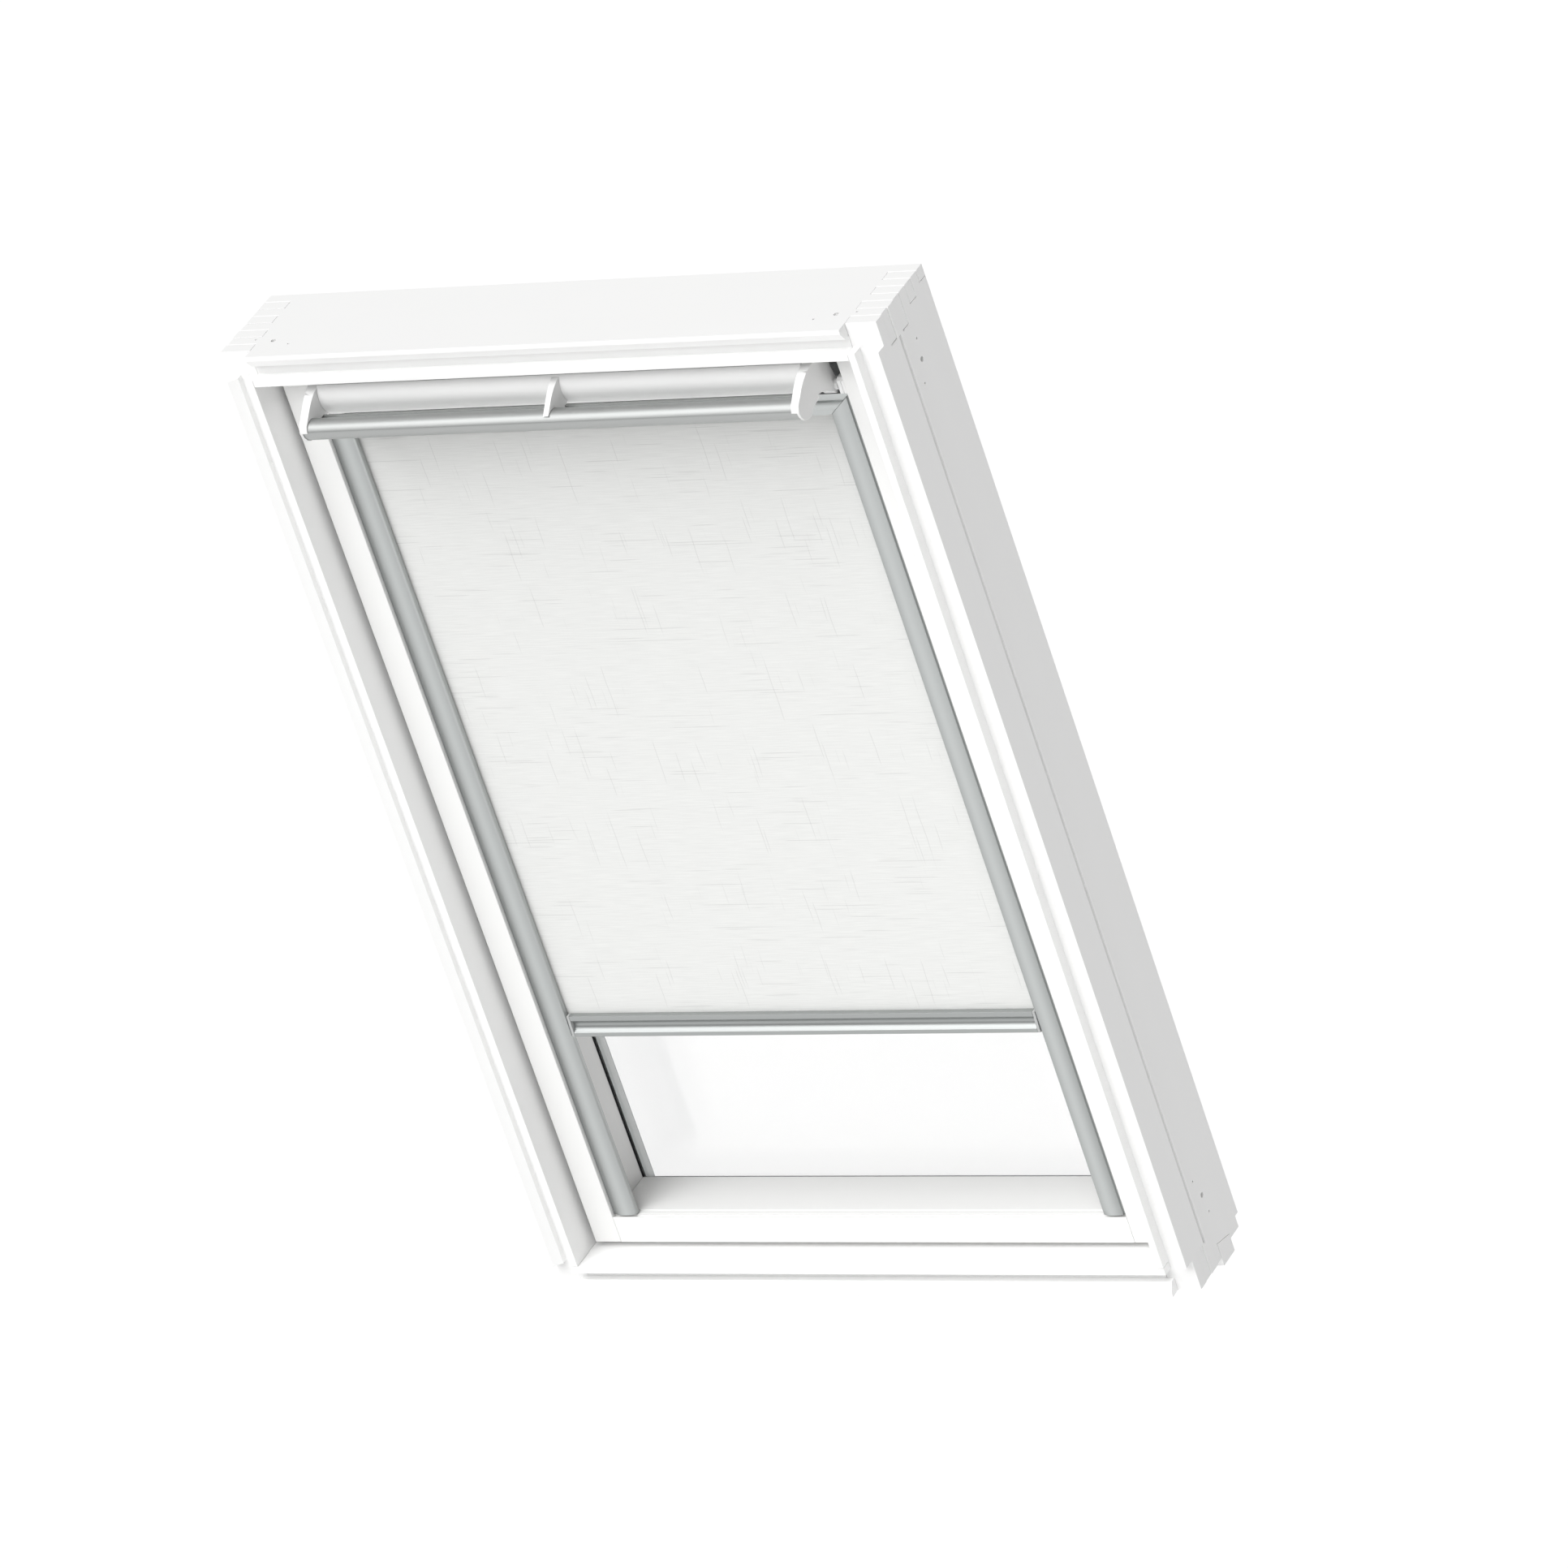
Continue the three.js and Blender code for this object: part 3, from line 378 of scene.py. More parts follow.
def slubbed_cloth(name, color, cloth):
    """Off-white woven cloth: close crosswise threads, and thicker slub yarns that come and go both ways."""
    finish = Finish(name, Sheen_Weight=0.15, Sheen_Roughness=0.6)
    chart = finish.node("ShaderNodeUVMap", {"uv_map": CLOTH_CHART}, {}).outputs[0]
    size = (cloth.width, cloth.drop, 1.0)
    spread = finish.node("ShaderNodeMapping", {}, {"Vector": chart, "Scale": size}).outputs[0]
    apart = finish.node("ShaderNodeSeparateXYZ", {}, {0: spread})
    across, down = (Number(finish, socket) for socket in apart.outputs[:2])

    row_shift = 7.31

    def patches(first, second, detail):
        """Noise over two values, each in cells."""
        place = finish.node("ShaderNodeCombineXYZ", {}, {0: first, 1: second}).outputs[0]
        return finish.noise(place, detail=detail)

    def ripple(position, pitch):
        """A wave between -1 and 1, one for each pitch."""
        return (position * (math.tau / pitch)).sine()

    def yarns(position, along, pitch, reach, low, high):
        """Slub yarns a pitch apart, which fade to their sides. Each shows where its own noise is high. The
        noise of the next yarn is row_shift cells away."""
        turns = position * (1.0 / pitch)
        offset = turns.fraction() - 0.5
        shows = patches(along * (1.0 / reach), turns.floor() * row_shift, detail=0.0).ramp(low, high)
        return shows * (1.0 - 4.0 * offset * offset)

    weave_down = ripple(across, cloth.warp_pitch)
    weave_across = ripple(down, cloth.weft_pitch)
    streaks = patches(across * 30.0, down * 800.0, detail=2.0)
    wander = 2 * MM * patches(across * 40.0, down * 30.0, detail=0.0)
    crosswise = yarns(down, across, pitch=1.1 * MM, reach=110 * MM, low=0.72, high=0.78)
    lengthwise = yarns(across + wander, down, pitch=1.2 * MM, reach=90 * MM, low=0.73, high=0.79)
    slub = (crosswise + 0.85 * lengthwise) * cloth.slub_strength
    tone = 0.8 * streaks + 0.06 * weave_across + 0.04 * weave_down
    plain = finish.tint(tone.ramp(0.15, 0.7), shaded(color, 0.915), color)
    finish.shade({
        "Base Color": finish.tint(slub, plain, shaded(color, 0.62)),
        "Roughness": 0.82 + 0.1 * streaks,
    })
    finish.relief(0.25 * weave_across + 0.2 * weave_down + slub + 0.5 * streaks, depth=0.08 * MM)
    return finish.material


def finish_for(kind):
    """The material of that kind, made when it is first asked for."""
    made = bpy.data.materials.get(kind)
    if made:
        return made
    colors = bpy.context.scene.window_colors
    makers = {
        "lacquer_upright": lambda: grained(kind, colors.lacquer, UPRIGHT),
        "lacquer_across": lambda: grained(kind, colors.lacquer, ACROSS),
        # The sash's lacquer is a darker copy of the frame's: painted shade for the sash, which sits back in
        # the frame
        "sash_painted_shade_upright": lambda: grained(kind, colors.sash, UPRIGHT),
        "sash_painted_shade_across": lambda: grained(kind, colors.sash, ACROSS),
        "white_moulding": lambda: moulded(kind, colors.plastic, 0.32, 900.0),
        # A darker copy of the white plastic: painted shade on the control arms
        "arm_painted_shade_moulding": lambda: moulded(kind, shaded(colors.plastic, 0.86), 0.32, 900.0),
        "grey_moulding": lambda: moulded(kind, colors.grey_plastic, 0.4, 700.0),
        # The rails' silver with a painted highlight on the crest and painted shade towards the outer edge
        "silver_upright_painted_highlight": lambda: drawn(kind, colors.silver, 0.34, UPRIGHT, painted_highlight=RAIL_PAINTED_HIGHLIGHT),
        "silver_across": lambda: drawn(kind, colors.silver, 0.34, ACROSS),
        # A darker copy of the silver: painted shade on the bottom bar and the glass spacer
        "painted_shade_silver_across": lambda: drawn(kind, shaded(colors.silver, 0.75), 0.34, ACROSS),
        "brushed_across": lambda: drawn(kind, colors.brushed, 0.42, ACROSS, metal=1.0),
        "grey_sheet": lambda: coated_sheet(kind, colors.sheet),
        "zinc_steel": lambda: zinc(kind, colors.steel),
        "dull_rubber": lambda: rubber(kind, colors.rubber),
        "seal_rubber": lambda: rubber(kind, colors.seal),
        "float_glass": lambda: glazed(kind, colors.glass),
        "open_foam": lambda: foamed(kind, colors.foam),
        "slubbed_cloth": lambda: slubbed_cloth(kind, colors.cloth, bpy.context.scene.blind_cloth),
    }
    return makers[kind]()


# Shapes

def linked(name, data):
    """A new object with that data, in the scene."""
    piece = bpy.data.objects.new(name, data)
    bpy.context.scene.collection.objects.link(piece)
    return piece


def seated(piece, body, slot, *nodes):
    """Fastens a finished piece to its body, in place of the CAD solids that it stands for."""
    if nodes:
        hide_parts(*nodes)
    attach(piece, body)
    return piece


def rounded(node, finish, slot, width, weld=MERGE, cut=None):
    """A CAD solid with its near points merged, its sharp edges rounded and its finish on."""
    source = frame["nodes"][node]
    shape = bmesh.new()
    shape.from_mesh(carved(source, *cut) if cut else source.data)
    bmesh.ops.remove_doubles(shape, verts=shape.verts, dist=weld)
    bmesh.ops.dissolve_limit(shape, angle_limit=FLAT, verts=shape.verts, edges=shape.edges)
    shortest = SHORT_EDGE * width
    sharp = [
        edge for edge in shape.edges if edge.calc_face_angle(0.0) > SHARP and edge.calc_length() > shortest]
    bmesh.ops.bevel(
        shape, geom=sharp, offset=width, segments=EDGE_SEGMENTS, profile=ROUND_PROFILE, affect="EDGES",
        clamp_overlap=True)
    for face in shape.faces:
        face.smooth = True
    for edge in shape.edges:
        edge.smooth = edge.calc_face_angle(0.0) < CREASE
    mesh = bpy.data.meshes.new(f"{node}_finished")
    shape.to_mesh(mesh)
    shape.free()
    mesh.materials.append(finish_for(finish))
    piece = linked(mesh.name, mesh)
    even = piece.modifiers.new("Even faces", "WEIGHTED_NORMAL")
    even.keep_sharp = True
    return seated(piece, source["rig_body"], slot, node)


def block(name, low, high):
    """A box between two corners."""
    low, high = Vector(low), Vector(high)
    shape = bmesh.new()
    bmesh.ops.create_cube(shape, size=1.0)
    bmesh.ops.scale(shape, verts=shape.verts, vec=high - low)
    bmesh.ops.translate(shape, verts=shape.verts, vec=(high + low) / 2)
    mesh = bpy.data.meshes.new(name)
    shape.to_mesh(mesh)
    shape.free()
    return linked(name, mesh)


def baked(piece, name):
    """The mesh of an object with its modifiers applied. The object goes."""
    mesh = bpy.data.meshes.new_from_object(piece.evaluated_get(bpy.context.evaluated_depsgraph_get()))
    mesh.name = name
    bpy.data.objects.remove(piece)
    return mesh


def carved(source, low, high):
    """The mesh of a CAD solid with a box cut out of it."""
    cutter = block("cutter", low, high)
    piece = linked("uncut", source.data)
    cut = piece.modifiers.new("Cut", "BOOLEAN")
    cut.object, cut.solver = cutter, "EXACT"
    mesh = baked(piece, f"{source.name}_carved")
    bpy.data.objects.remove(cutter)
    return mesh


def both_sides(stem):
    """The names of the left and the right one of a pair."""
    return [f"{stem}_left", f"{stem}_right"]


def screw_tree():
    """A tapered head with a six-sided recess, set on each point and turned to its facing."""
    tree = bpy.data.node_groups.new("Screw heads", "GeometryNodeTree")
    tree.interface.new_socket("Geometry", in_out="OUTPUT", socket_type="NodeSocketGeometry")
    tree.interface.new_socket("Geometry", in_out="INPUT", socket_type="NodeSocketGeometry")
    for name in ("Head Radius", "Head Depth", "Recess Radius", "Recess Depth"):
        tree.interface.new_socket(name, in_out="INPUT", socket_type="NodeSocketFloat")
    tree.interface.new_socket("Material", in_out="INPUT", socket_type="NodeSocketMaterial")
    given = tree.nodes.new("NodeGroupInput").outputs

    def node(kind, settings, values):
        return added(tree, kind, settings, values).outputs

    def times(value, share):
        return node("ShaderNodeMath", {"operation": "MULTIPLY"}, {0: value, 1: share})[0]

    def lifted(geometry, share):
        """The geometry, raised by a share of the head's depth."""
        rise = node("ShaderNodeCombineXYZ", {}, {2: times(given["Head Depth"], share)})[0]
        return node("GeometryNodeTransform", {}, {"Geometry": geometry, "Translation": rise})[0]

    slimmer = times(given["Head Radius"], HEAD_TAPER_SHARE)
    head = node("GeometryNodeMeshCone", {}, {
        "Vertices": HEAD_SIDES, "Radius Top": slimmer, "Radius Bottom": given["Head Radius"],
        "Depth": given["Head Depth"]})["Mesh"]
    recess = node("GeometryNodeMeshCylinder", {}, {
        "Vertices": RECESS_SIDES, "Radius": given["Recess Radius"],
        "Depth": given["Recess Depth"]})["Mesh"]
    parts = {0: head, 1: lifted(recess, 1.0)}
    hollowed = node("GeometryNodeMeshBoolean", {"operation": "DIFFERENCE"}, parts)["Mesh"]
    screw = lifted(hollowed, -SUNK_SHARE)
    facing = node("GeometryNodeInputNamedAttribute", {"data_type": "FLOAT_VECTOR"}, {"Name": FACING})[0]
    turn = node("FunctionNodeAlignRotationToVector", {"axis": "Z"}, {"Vector": facing})[0]
    heads = node("GeometryNodeInstanceOnPoints", {}, {
        "Points": given["Geometry"], "Instance": screw, "Rotation": turn})[0]
    loose = node("GeometryNodeRealizeInstances", {}, {"Geometry": heads})[0]
    shown = node("GeometryNodeSetMaterial", {}, {"Geometry": loose, "Material": given["Material"]})[0]
    node("NodeGroupOutput", {}, {"Geometry": shown})
    return tree


def screwed(body, places):
    """Screw heads at the given points, each with the way that it faces, as one mesh on a body."""
    points = bpy.data.meshes.new(f"{body}_screw_points")
    points.from_pydata([place for place, facing in places], [], [])
    facings = points.attributes.new(FACING, "FLOAT_VECTOR", "POINT")
    for spot, (place, facing) in zip(facings.data, places):
        spot.vector = facing
    piece = linked(points.name, points)
    tree = bpy.data.node_groups.get("Screw heads") or screw_tree()
    heads = piece.modifiers.new("Screw heads", "NODES")
    heads.node_group = tree
    sizes = bpy.context.scene.window_screws
    values = {
        "Head Radius": sizes.head, "Head Depth": sizes.depth, "Recess Radius": sizes.recess,
        "Recess Depth": RECESS_SHARE * sizes.depth, "Material": finish_for("zinc_steel"),
    }
    for item in tree.interface.items_tree:
        if item.name in values:
            heads[item.identifier] = values[item.name]
    name = f"{body}_screws"
    return seated(linked(name, baked(piece, name)), body, "steel")


def insets(low, high, inset):
    """The two places that are that far in from the ends."""
    return low + inset, high - inset


def hinge_screws(node, facing, pin, inset):
    """Four screws near the corners of a hinge half, in the face that its pin stands out of."""
    low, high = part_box(node)
    face = (low.x if facing < 0 else high.x) - facing * pin
    return [
        ((face, y, z), (facing, 0, 0))
        for y in insets(low.y, high.y, inset) for z in insets(low.z, high.z, inset)]


def latch_screws(node, facing, inset):
    """Two screws near the ends of a part of the latch, in its upper or its lower face."""
    low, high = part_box(node)
    face = low.z if facing < 0 else high.z
    depth = (low.y + high.y) / 2
    return [((x, depth, face), (0, 0, facing)) for x in insets(low.x, high.x, inset)]


def cover_screws(node, facing):
    """A row of screws along the outer flange of a side cover."""
    low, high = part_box(node)
    face = low.x if facing < 0 else high.x
    depth = (low.y + high.y) / 2
    first, last = insets(low.z, high.z, COVER_END_SHARE * (high.z - low.z))
    step = (last - first) / (COVER_SCREWS - 1)
    return [((face, depth, first + step * index), (facing, 0, 0)) for index in range(COVER_SCREWS)]


def wound_chart(roll):
    """Lays the cloth's chart on the wound roll, by the turn of each corner round the roller."""
    low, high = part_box("fabric_roll")
    middle, radius = (low + high) / 2, (high.z - low.z) / 2
    cloth = bpy.context.scene.blind_cloth
    mesh = roll.data
    chart = mesh.uv_layers.new(name=CLOTH_CHART)
    for face in mesh.polygons:
        spoke = face.center - middle
        start = math.atan2(spoke.y, spoke.z)
        for loop in face.loop_indices:
            spot = mesh.vertices[mesh.loops[loop].vertex_index].co - middle
            turn = Vector(spot.yz).angle_signed(Vector(spoke.yz), 0.0)
            chart.data[loop].uv = (spot.x / cloth.width, (start + turn) * radius / cloth.drop)


# Settings

def color_property(name, description, default):
    """A colour that the sidebar offers."""
    return FloatVectorProperty(
        name=name, description=description, default=default, subtype="COLOR", min=0.0, max=1.0)


def length_property(name, description, default):
    """A length that the sidebar offers."""
    return FloatProperty(name=name, description=description, default=default, unit="LENGTH", min=0.0)


def angle_property(name, description, default):
    """An angle that the sidebar offers, given in degrees."""
    return FloatProperty(
        name=name, description=description, default=math.radians(default), subtype="ANGLE")


def strength_property(name, description, default):
    """A strength that the sidebar offers."""
    return FloatProperty(name=name, description=description, default=default, min=0.0)


def share_property(name, description, default):
    """A share between 0 and 1 that the sidebar offers."""
    return FloatProperty(
        name=name, description=description, default=default, subtype="FACTOR", min=0.0, max=1.0)


def vector_property(name, description, default, subtype):
    """A place or a direction that the sidebar offers."""
    return FloatVectorProperty(name=name, description=description, default=default, subtype=subtype)


cloth_low, cloth_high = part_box("blind_fabric")


class WindowColors(bpy.types.PropertyGroup):
    """Colours of the finishes."""

    lacquer: color_property("Lacquer", "White lacquer of the frame", (0.93, 0.93, 0.925))
    # A darker copy of the frame lacquer: painted shade for the recessed sash
    sash: color_property("Sash lacquer", "White lacquer of the sash", (0.885, 0.885, 0.875))
    plastic: color_property("Plastic", "White plastic of flap and arms", (0.94, 0.94, 0.935))
    grey_plastic: color_property("Grey plastic", "Plugs of roller and bottom bar", (0.45, 0.46, 0.455))
    silver: color_property("Silver", "Anodised rails, casing and bottom bar", (0.56, 0.58, 0.575))
    brushed: color_property("Brushed", "Brushed aluminium of the control bar", (0.46, 0.47, 0.465))
    sheet: color_property("Covers", "Lacquered sheet of the outer covers", (0.105, 0.115, 0.12))
    steel: color_property("Steel", "Zinc-plated hinges and latch", (0.62, 0.63, 0.64))
    rubber: color_property("Rubber", "Gasket of the glass", (0.012, 0.012, 0.013))
    seal: color_property("Seal", "Weather seal of the frame", (0.16, 0.162, 0.165))
    glass: color_property("Glass", "Tint of the panes", (0.97, 0.99, 0.985))
    foam: color_property("Foam", "Filter in the vent slot", (0.45, 0.46, 0.465))
    cloth: color_property("Cloth", "Roller blind cloth", (0.8, 0.805, 0.79))


class WindowEdges(bpy.types.PropertyGroup):
    """Radii of the rounded edges."""

    wood: length_property("Wood", "Sanded edges of frame and sash", 1.0 * MM)
    plastic: length_property("Plastic", "Moulded edges", 0.5 * MM)
    metal: length_property("Metal", "Edges of drawn and pressed metal", 0.2 * MM)
    soft: length_property("Rubber", "Edges of rubber and glass", 0.15 * MM)


class ScrewSizes(bpy.types.PropertyGroup):
    """Heads of the screws in hinges, latch and covers."""

    head: length_property("Head", "Radius of a head at its foot", 3.6 * MM)
    depth: length_property("Depth", "Depth of a head, half of which is sunk", 0.7 * MM)
    recess: length_property("Recess", "Radius of the six-sided recess", 1.7 * MM)


class BlindCloth(bpy.types.PropertyGroup):
    """Size and yarns of the cloth."""

    width: length_property(
        "Width", "Width of the cloth between the rail slots", cloth_high.x - cloth_low.x)
    drop: length_property(
        "Drop", "Length of the cloth from the roller to the hem", cloth_high.z - cloth_low.z)
    warp_pitch: length_property("Warp pitch", "Distance of the lengthwise threads", 0.7 * MM)
    weft_pitch: length_property("Weft pitch", "Distance of the crosswise threads", 0.55 * MM)
    slub_strength: share_property("Slub strength", "Darkness of the thick yarns", 0.46)


class StudioSettings(bpy.types.PropertyGroup):
    """Camera and light."""

    azimuth: angle_property("Azimuth", "Turn of the camera round the window", 35.0)
    elevation: angle_property("Elevation", "Height angle of the camera", 27.548)
    roll: angle_property("Roll", "Tilt of the picture", -19.225)
    distance: length_property("Distance", "From the camera to the point that it aims at", 11.633)
    aim: vector_property("Aim", "Point in the middle of the picture", (0.0652, 0.0, 0.6043), "TRANSLATION")
    lens: FloatProperty(
        name="Lens", description="Focal length in millimetres", default=257.99, min=1.0, unit="CAMERA")
    floor: color_property("Floor", "Colour of the floor", (0.97, 0.97, 0.97))
    floor_roughness: share_property("Floor roughness", "Roughness of the floor", 0.9)
    floor_drop: length_property("Floor drop", "Depth of the floor below the sill", 3.0)
    floor_reach: length_property("Floor reach", "Half the width of the floor", 70.0)
    ambient: strength_property("Ambient", "Strength of the even light", 0.18)
    key: strength_property("Key", "Strength of the main light", 3.3)
    key_spread: angle_property("Key spread", "Angle that the main light is spread over", 62.0)
    key_way: vector_property("Key way", "Direction of the main light", (0.1, 0.49, -0.865), "DIRECTION")
    front: strength_property("Front", "Power of the front light", 1.0)
    front_width: length_property("Front width", "Width of the front light", 0.35)
    front_height: length_property("Front height", "Height of the front light", 1.3)
    front_place: vector_property("Front place", "Middle of the front light", (0.2, -1.1, 0.6), "TRANSLATION")


# Pieces

class FrameWood(bpy.types.Operator):
    """Lacquered members of the frame"""

    bl_idname = "window.frame_wood"
    bl_label = "Frame Members"

    def execute(self, context):
        edge = context.scene.window_edges.wood
        for node in both_sides("frame_stile"):
            rounded(node, "lacquer_upright", "white_paint", edge)
        for node in ("frame_head", "frame_sill"):
            rounded(node, "lacquer_across", "white_paint", edge)
        return {"FINISHED"}


class FrameFittings(bpy.types.Operator):
    """Weather seal, hinge housings and strike plate of the frame"""

    bl_idname = "window.frame_fittings"
    bl_label = "Frame Fittings"

    def execute(self, context):
        edges = context.scene.window_edges
        rounded("frame_seal", "seal_rubber", "black_rubber", edges.soft)
        for node in [*both_sides("pivot_housing"), "strike_plate"]:
            rounded(node, "zinc_steel", "steel", edges.metal)
        return {"FINISHED"}


class SashWood(bpy.types.Operator):
    """Lacquered members of the sash"""

    bl_idname = "window.sash_wood"
    bl_label = "Sash Members"

    def execute(self, context):
        edge = context.scene.window_edges.wood
        for node in both_sides("sash_stile"):
            rounded(node, "sash_painted_shade_upright", "white_paint", edge)
        for node in ("sash_top_rail", "sash_bottom_rail"):
            rounded(node, "sash_painted_shade_across", "white_paint", edge)
        return {"FINISHED"}


class SashFittings(bpy.types.Operator):
    """Hinge plates, latch, brackets and filter of the sash"""

    bl_idname = "window.sash_fittings"
    bl_label = "Sash Fittings"

    def execute(self, context):
        edges = context.scene.window_edges
        for node in [*both_sides("pivot_plate"), "lock_case", "lock_bolt"]:
            rounded(node, "zinc_steel", "steel", edges.metal)
        for node in both_sides("flap_bearing"):
            rounded(node, "white_moulding", "white_plastic", edges.plastic)
        rounded("vent_filter", "open_foam", "filter_foam", edges.soft)
        return {"FINISHED"}


class Screws(bpy.types.Operator):
    """Screws of the hinge plates, the latch, its keeper and the covers"""

    bl_idname = "window.screws"
    bl_label = "Screws"

    def execute(self, context):
        inset = 2 * context.scene.window_screws.head
        frame_places = latch_screws("strike_plate", -1, inset)
        sash_places = latch_screws("lock_case", 1, inset)
        pairs = (both_sides(stem) for stem in ("pivot_housing", "pivot_plate", "cover"))
        for side, housing, plate, cover in zip((-1, 1), *pairs):
            frame_places += hinge_screws(housing, -side, 0.0, inset)
            sash_places += hinge_screws(plate, side, HINGE_PIN, inset)
            sash_places += cover_screws(cover, side)
        screwed("frame", frame_places)
        screwed("sash", sash_places)
        return {"FINISHED"}


class Glazing(bpy.types.Operator):
    """Panes, spacer and gasket of the insulating glass"""

    bl_idname = "window.glazing"
    bl_label = "Glazing"

    def execute(self, context):
        edges = context.scene.window_edges
        for node in ("glass_inner_pane", "glass_outer_pane"):
            rounded(node, "float_glass", "pane_glass", edges.soft)
        # The spacer takes the darker copy of the silver: painted shade
        rounded("glass_spacer", "painted_shade_silver_across", "silver_aluminium", edges.metal)
        rounded("glass_gasket", "dull_rubber", "black_rubber", edges.soft)
        return {"FINISHED"}


class Covers(bpy.types.Operator):
    """Folded sheet covers on the roof side"""

    bl_idname = "window.covers"
    bl_label = "Covers"

    def execute(self, context):
        edge = context.scene.window_edges.metal
        for side in ("left", "right", "top", "bottom"):
            rounded(f"cover_{side}", "grey_sheet", "grey_cladding", edge)
        return {"FINISHED"}


class Vent(bpy.types.Operator):
    """Vent flap with its shaft, arms and control bar"""

    bl_idname = "window.vent"
    bl_label = "Vent Flap and Control Bar"

    def execute(self, context):
        edges = context.scene.window_edges
        rounded("vent_flap", "white_moulding", "white_plastic", edges.plastic, weld=FINE)
        # The arms take the darker copy of the white plastic: painted shade
        rounded("control_arm_middle", "arm_painted_shade_moulding", "white_plastic", edges.plastic, weld=FINE)
        low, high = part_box("control_bar")
        for node, outer in zip(both_sides("control_arm"), (low.x, high.x)):
            left, right = sorted((outer, CUT_END_SHARE * outer))
            cut = (left, low.y - CUT_ROOM, low.z - CUT_ROOM), (right, high.y - CUT_ROOM, BAR_NOSE)
            rounded(node, "arm_painted_shade_moulding", "white_plastic", edges.plastic, weld=FINE, cut=cut)
        rounded("control_bar", "brushed_across", "brushed_aluminium", edges.metal)
        rounded("flap_shaft", "zinc_steel", "steel", edges.metal)
        return {"FINISHED"}


class BlindCase(bpy.types.Operator):
    """Side rails and top casing of the blind"""

    bl_idname = "window.blind_case"
    bl_label = "Blind Rails and Casing"

    def execute(self, context):
        edge = context.scene.window_edges.metal
        for node in both_sides("blind_rail"):
            rounded(node, "silver_upright_painted_highlight", "silver_aluminium", edge)
        rounded("blind_casing", "silver_across", "silver_aluminium", edge, weld=FINE)
        for node in both_sides("roller_bracket"):
            rounded(node, "zinc_steel", "steel", edge)
        return {"FINISHED"}


class Roller(bpy.types.Operator):
    """Roller tube, its plugs, return spring and the wound cloth"""

    bl_idname = "window.roller"
    bl_label = "Roller"

    def execute(self, context):
        edges = context.scene.window_edges
        rounded("roller_tube", "silver_across", "silver_aluminium", edges.metal)
        wound_chart(rounded("fabric_roll", "slubbed_cloth", "blind_cloth", edges.soft))
        for node in both_sides("roller_plug"):
            rounded(node, "grey_moulding", "grey_plastic", edges.soft)
        rounded("roller_spring", "zinc_steel", "steel", edges.soft)
        return {"FINISHED"}


class BottomBar(bpy.types.Operator):
    """Bottom bar of the blind with its end plugs"""

    bl_idname = "window.bottom_bar"
    bl_label = "Bottom Bar"

    def execute(self, context):
        edges = context.scene.window_edges
        # The bottom bar takes the darker copy of the silver: painted shade
        rounded("bottom_bar", "painted_shade_silver_across", "silver_aluminium", edges.metal)
        for node in both_sides("bar_end"):
            rounded(node, "grey_moulding", "grey_plastic", edges.soft)
        return {"FINISHED"}


class Cloth(bpy.types.Operator):
    """Cloth of the blind, from the roller to the hem"""

    bl_idname = "window.cloth"
    bl_label = "Blind Cloth"

    def execute(self, context):
        low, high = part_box("blind_fabric")
        width, drop = high.x - low.x, high.z - low.z
        piece = block("blind_cloth", low, high)
        mesh = piece.data
        chart = mesh.uv_layers.new(name=CLOTH_CHART)
        for loop in mesh.loops:
            spot = mesh.vertices[loop.vertex_index].co
            chart.data[loop.index].uv = ((spot.x - low.x) / width, (spot.z - low.z) / drop)
        mesh.materials.append(finish_for("slubbed_cloth"))
        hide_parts("blind_fabric")
        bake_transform(piece)
        return {"FINISHED"}


# Studio

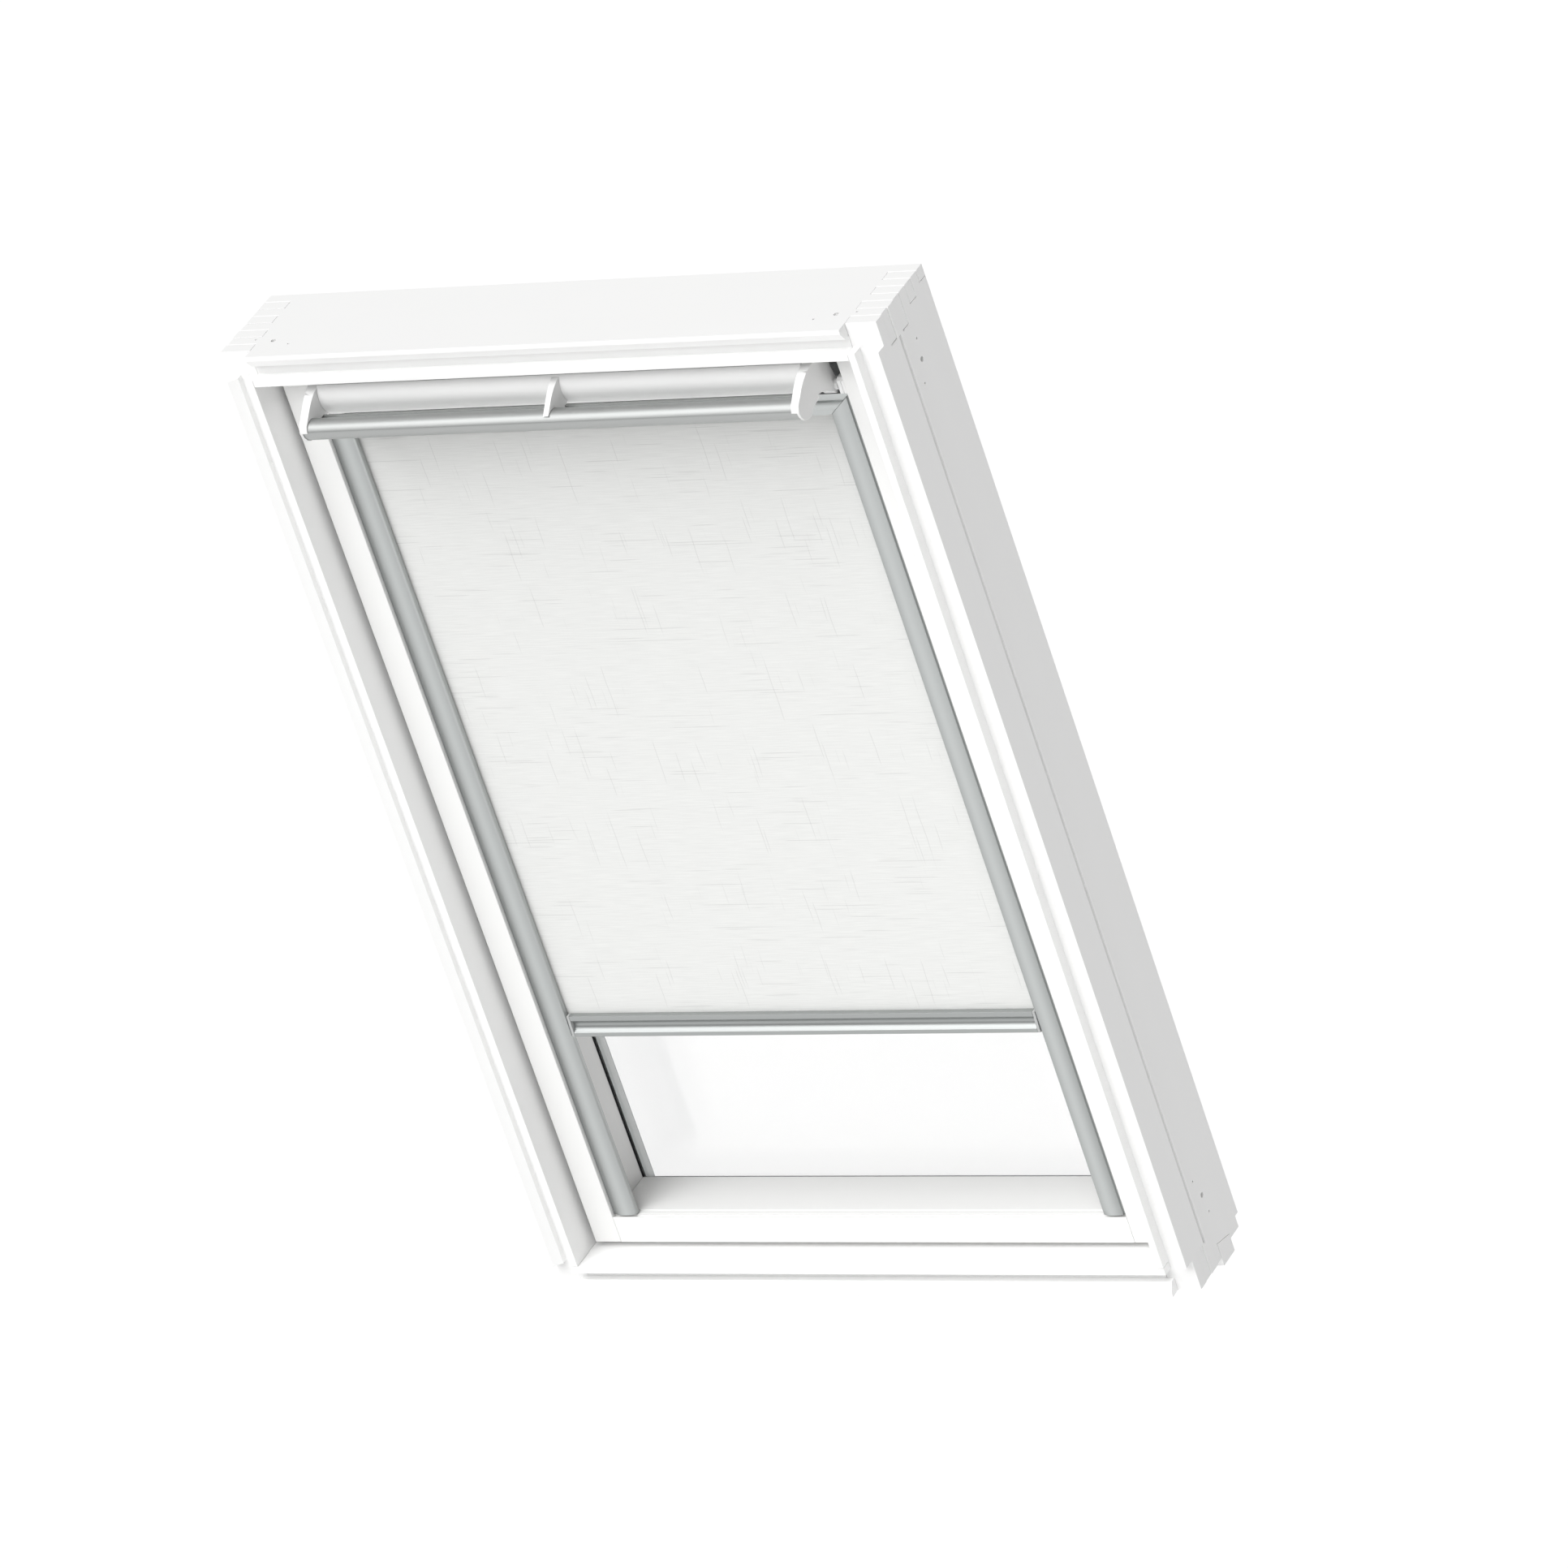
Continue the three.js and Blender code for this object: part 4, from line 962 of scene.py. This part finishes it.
class Studio(bpy.types.Operator):
    """Pale floor, soft light and the camera"""

    bl_idname = "window.studio"
    bl_label = "Studio"

    def execute(self, context):
        settings = context.scene.window_studio
        self.place_camera(context, settings)
        self.lay_floor(settings)
        self.light(context, settings)
        context.scene.view_settings.view_transform = "Standard"
        return {"FINISHED"}

    def place_camera(self, context, settings):
        """Looks at the aim from the given angles and distance."""
        turn = Matrix.Rotation(settings.azimuth, 3, "Z")
        turn @= Matrix.Rotation(math.pi / 2 - settings.elevation, 3, "X")
        turn @= Matrix.Rotation(settings.roll, 3, "Z")
        place = Vector(settings.aim) + turn @ Vector((0, 0, settings.distance))
        camera = linked("camera", bpy.data.cameras.new("camera"))
        camera.matrix_world = Matrix.Translation(place) @ turn.to_4x4()
        camera.data.lens = settings.lens
        camera.data.clip_end = SIGHT * settings.floor_reach
        context.scene.camera = camera

    def lay_floor(self, settings):
        """Lays a wide pale floor well below the window."""
        mesh = bpy.data.meshes.new("floor")
        shape = bmesh.new()
        bmesh.ops.create_grid(shape, x_segments=1, y_segments=1, size=settings.floor_reach)
        bmesh.ops.translate(shape, verts=shape.verts, vec=(0, 0, -settings.floor_drop))
        shape.to_mesh(mesh)
        shape.free()
        color = opaque(settings.floor)
        pale = Finish("pale_floor", Base_Color=color, Roughness=settings.floor_roughness)
        mesh.materials.append(pale.material)
        linked("floor", mesh)

    def light(self, context, settings):
        """Even light from all round, a wide main light and a faint one from the room."""
        world = bpy.data.worlds.new("studio")
        world.use_nodes = True
        sky = world.node_tree.nodes["Background"]
        feed(world.node_tree, sky, {"Color": (1, 1, 1, 1), "Strength": settings.ambient})
        context.scene.world = world

        key = linked("key", bpy.data.lights.new("key", "SUN"))
        key.data.energy = settings.key
        key.data.angle = settings.key_spread
        key.rotation_euler = Vector(settings.key_way).to_track_quat("-Z", "Y").to_euler()

        front = linked("front", bpy.data.lights.new("front", "AREA"))
        front.data.shape = "RECTANGLE"
        front.data.size, front.data.size_y = settings.front_width, settings.front_height
        front.data.energy = settings.front
        front.location = settings.front_place
        front.rotation_euler = (math.pi / 2, 0, 0)
        front.visible_camera = False


PIECES = (
    FrameWood, FrameFittings, SashWood, SashFittings, Screws, Glazing, Covers, Vent, BlindCase, Roller,
    BottomBar, Cloth, Studio,
)
SETTINGS = {
    "window_colors": WindowColors, "window_edges": WindowEdges, "window_screws": ScrewSizes,
    "blind_cloth": BlindCloth, "window_studio": StudioSettings,
}


class WindowPanel(bpy.types.Panel):
    """Lists the pieces and the settings of the roof window"""

    bl_idname = "VIEW3D_PT_roof_window"
    bl_label = "Roof Window"
    bl_space_type = "VIEW_3D"
    bl_region_type = "UI"
    bl_category = "Roof Window"

    def draw(self, context):
        for name, group in SETTINGS.items():
            box = self.layout.box()
            for key in group.__annotations__:
                box.prop(getattr(context.scene, name), key)
        for piece in PIECES:
            self.layout.operator(piece.bl_idname)


def register():
    for item in (*SETTINGS.values(), *PIECES, WindowPanel):
        bpy.utils.register_class(item)
    for name, group in SETTINGS.items():
        setattr(bpy.types.Scene, name, PointerProperty(type=group))


def unregister():
    for name in SETTINGS:
        delattr(bpy.types.Scene, name)
    for item in reversed((*SETTINGS.values(), *PIECES, WindowPanel)):
        bpy.utils.unregister_class(item)


def main():
    register()
    for piece in PIECES:
        area, name = piece.bl_idname.split(".")
        getattr(getattr(bpy.ops, area), name)()


if __name__ == "__main__":
    main()
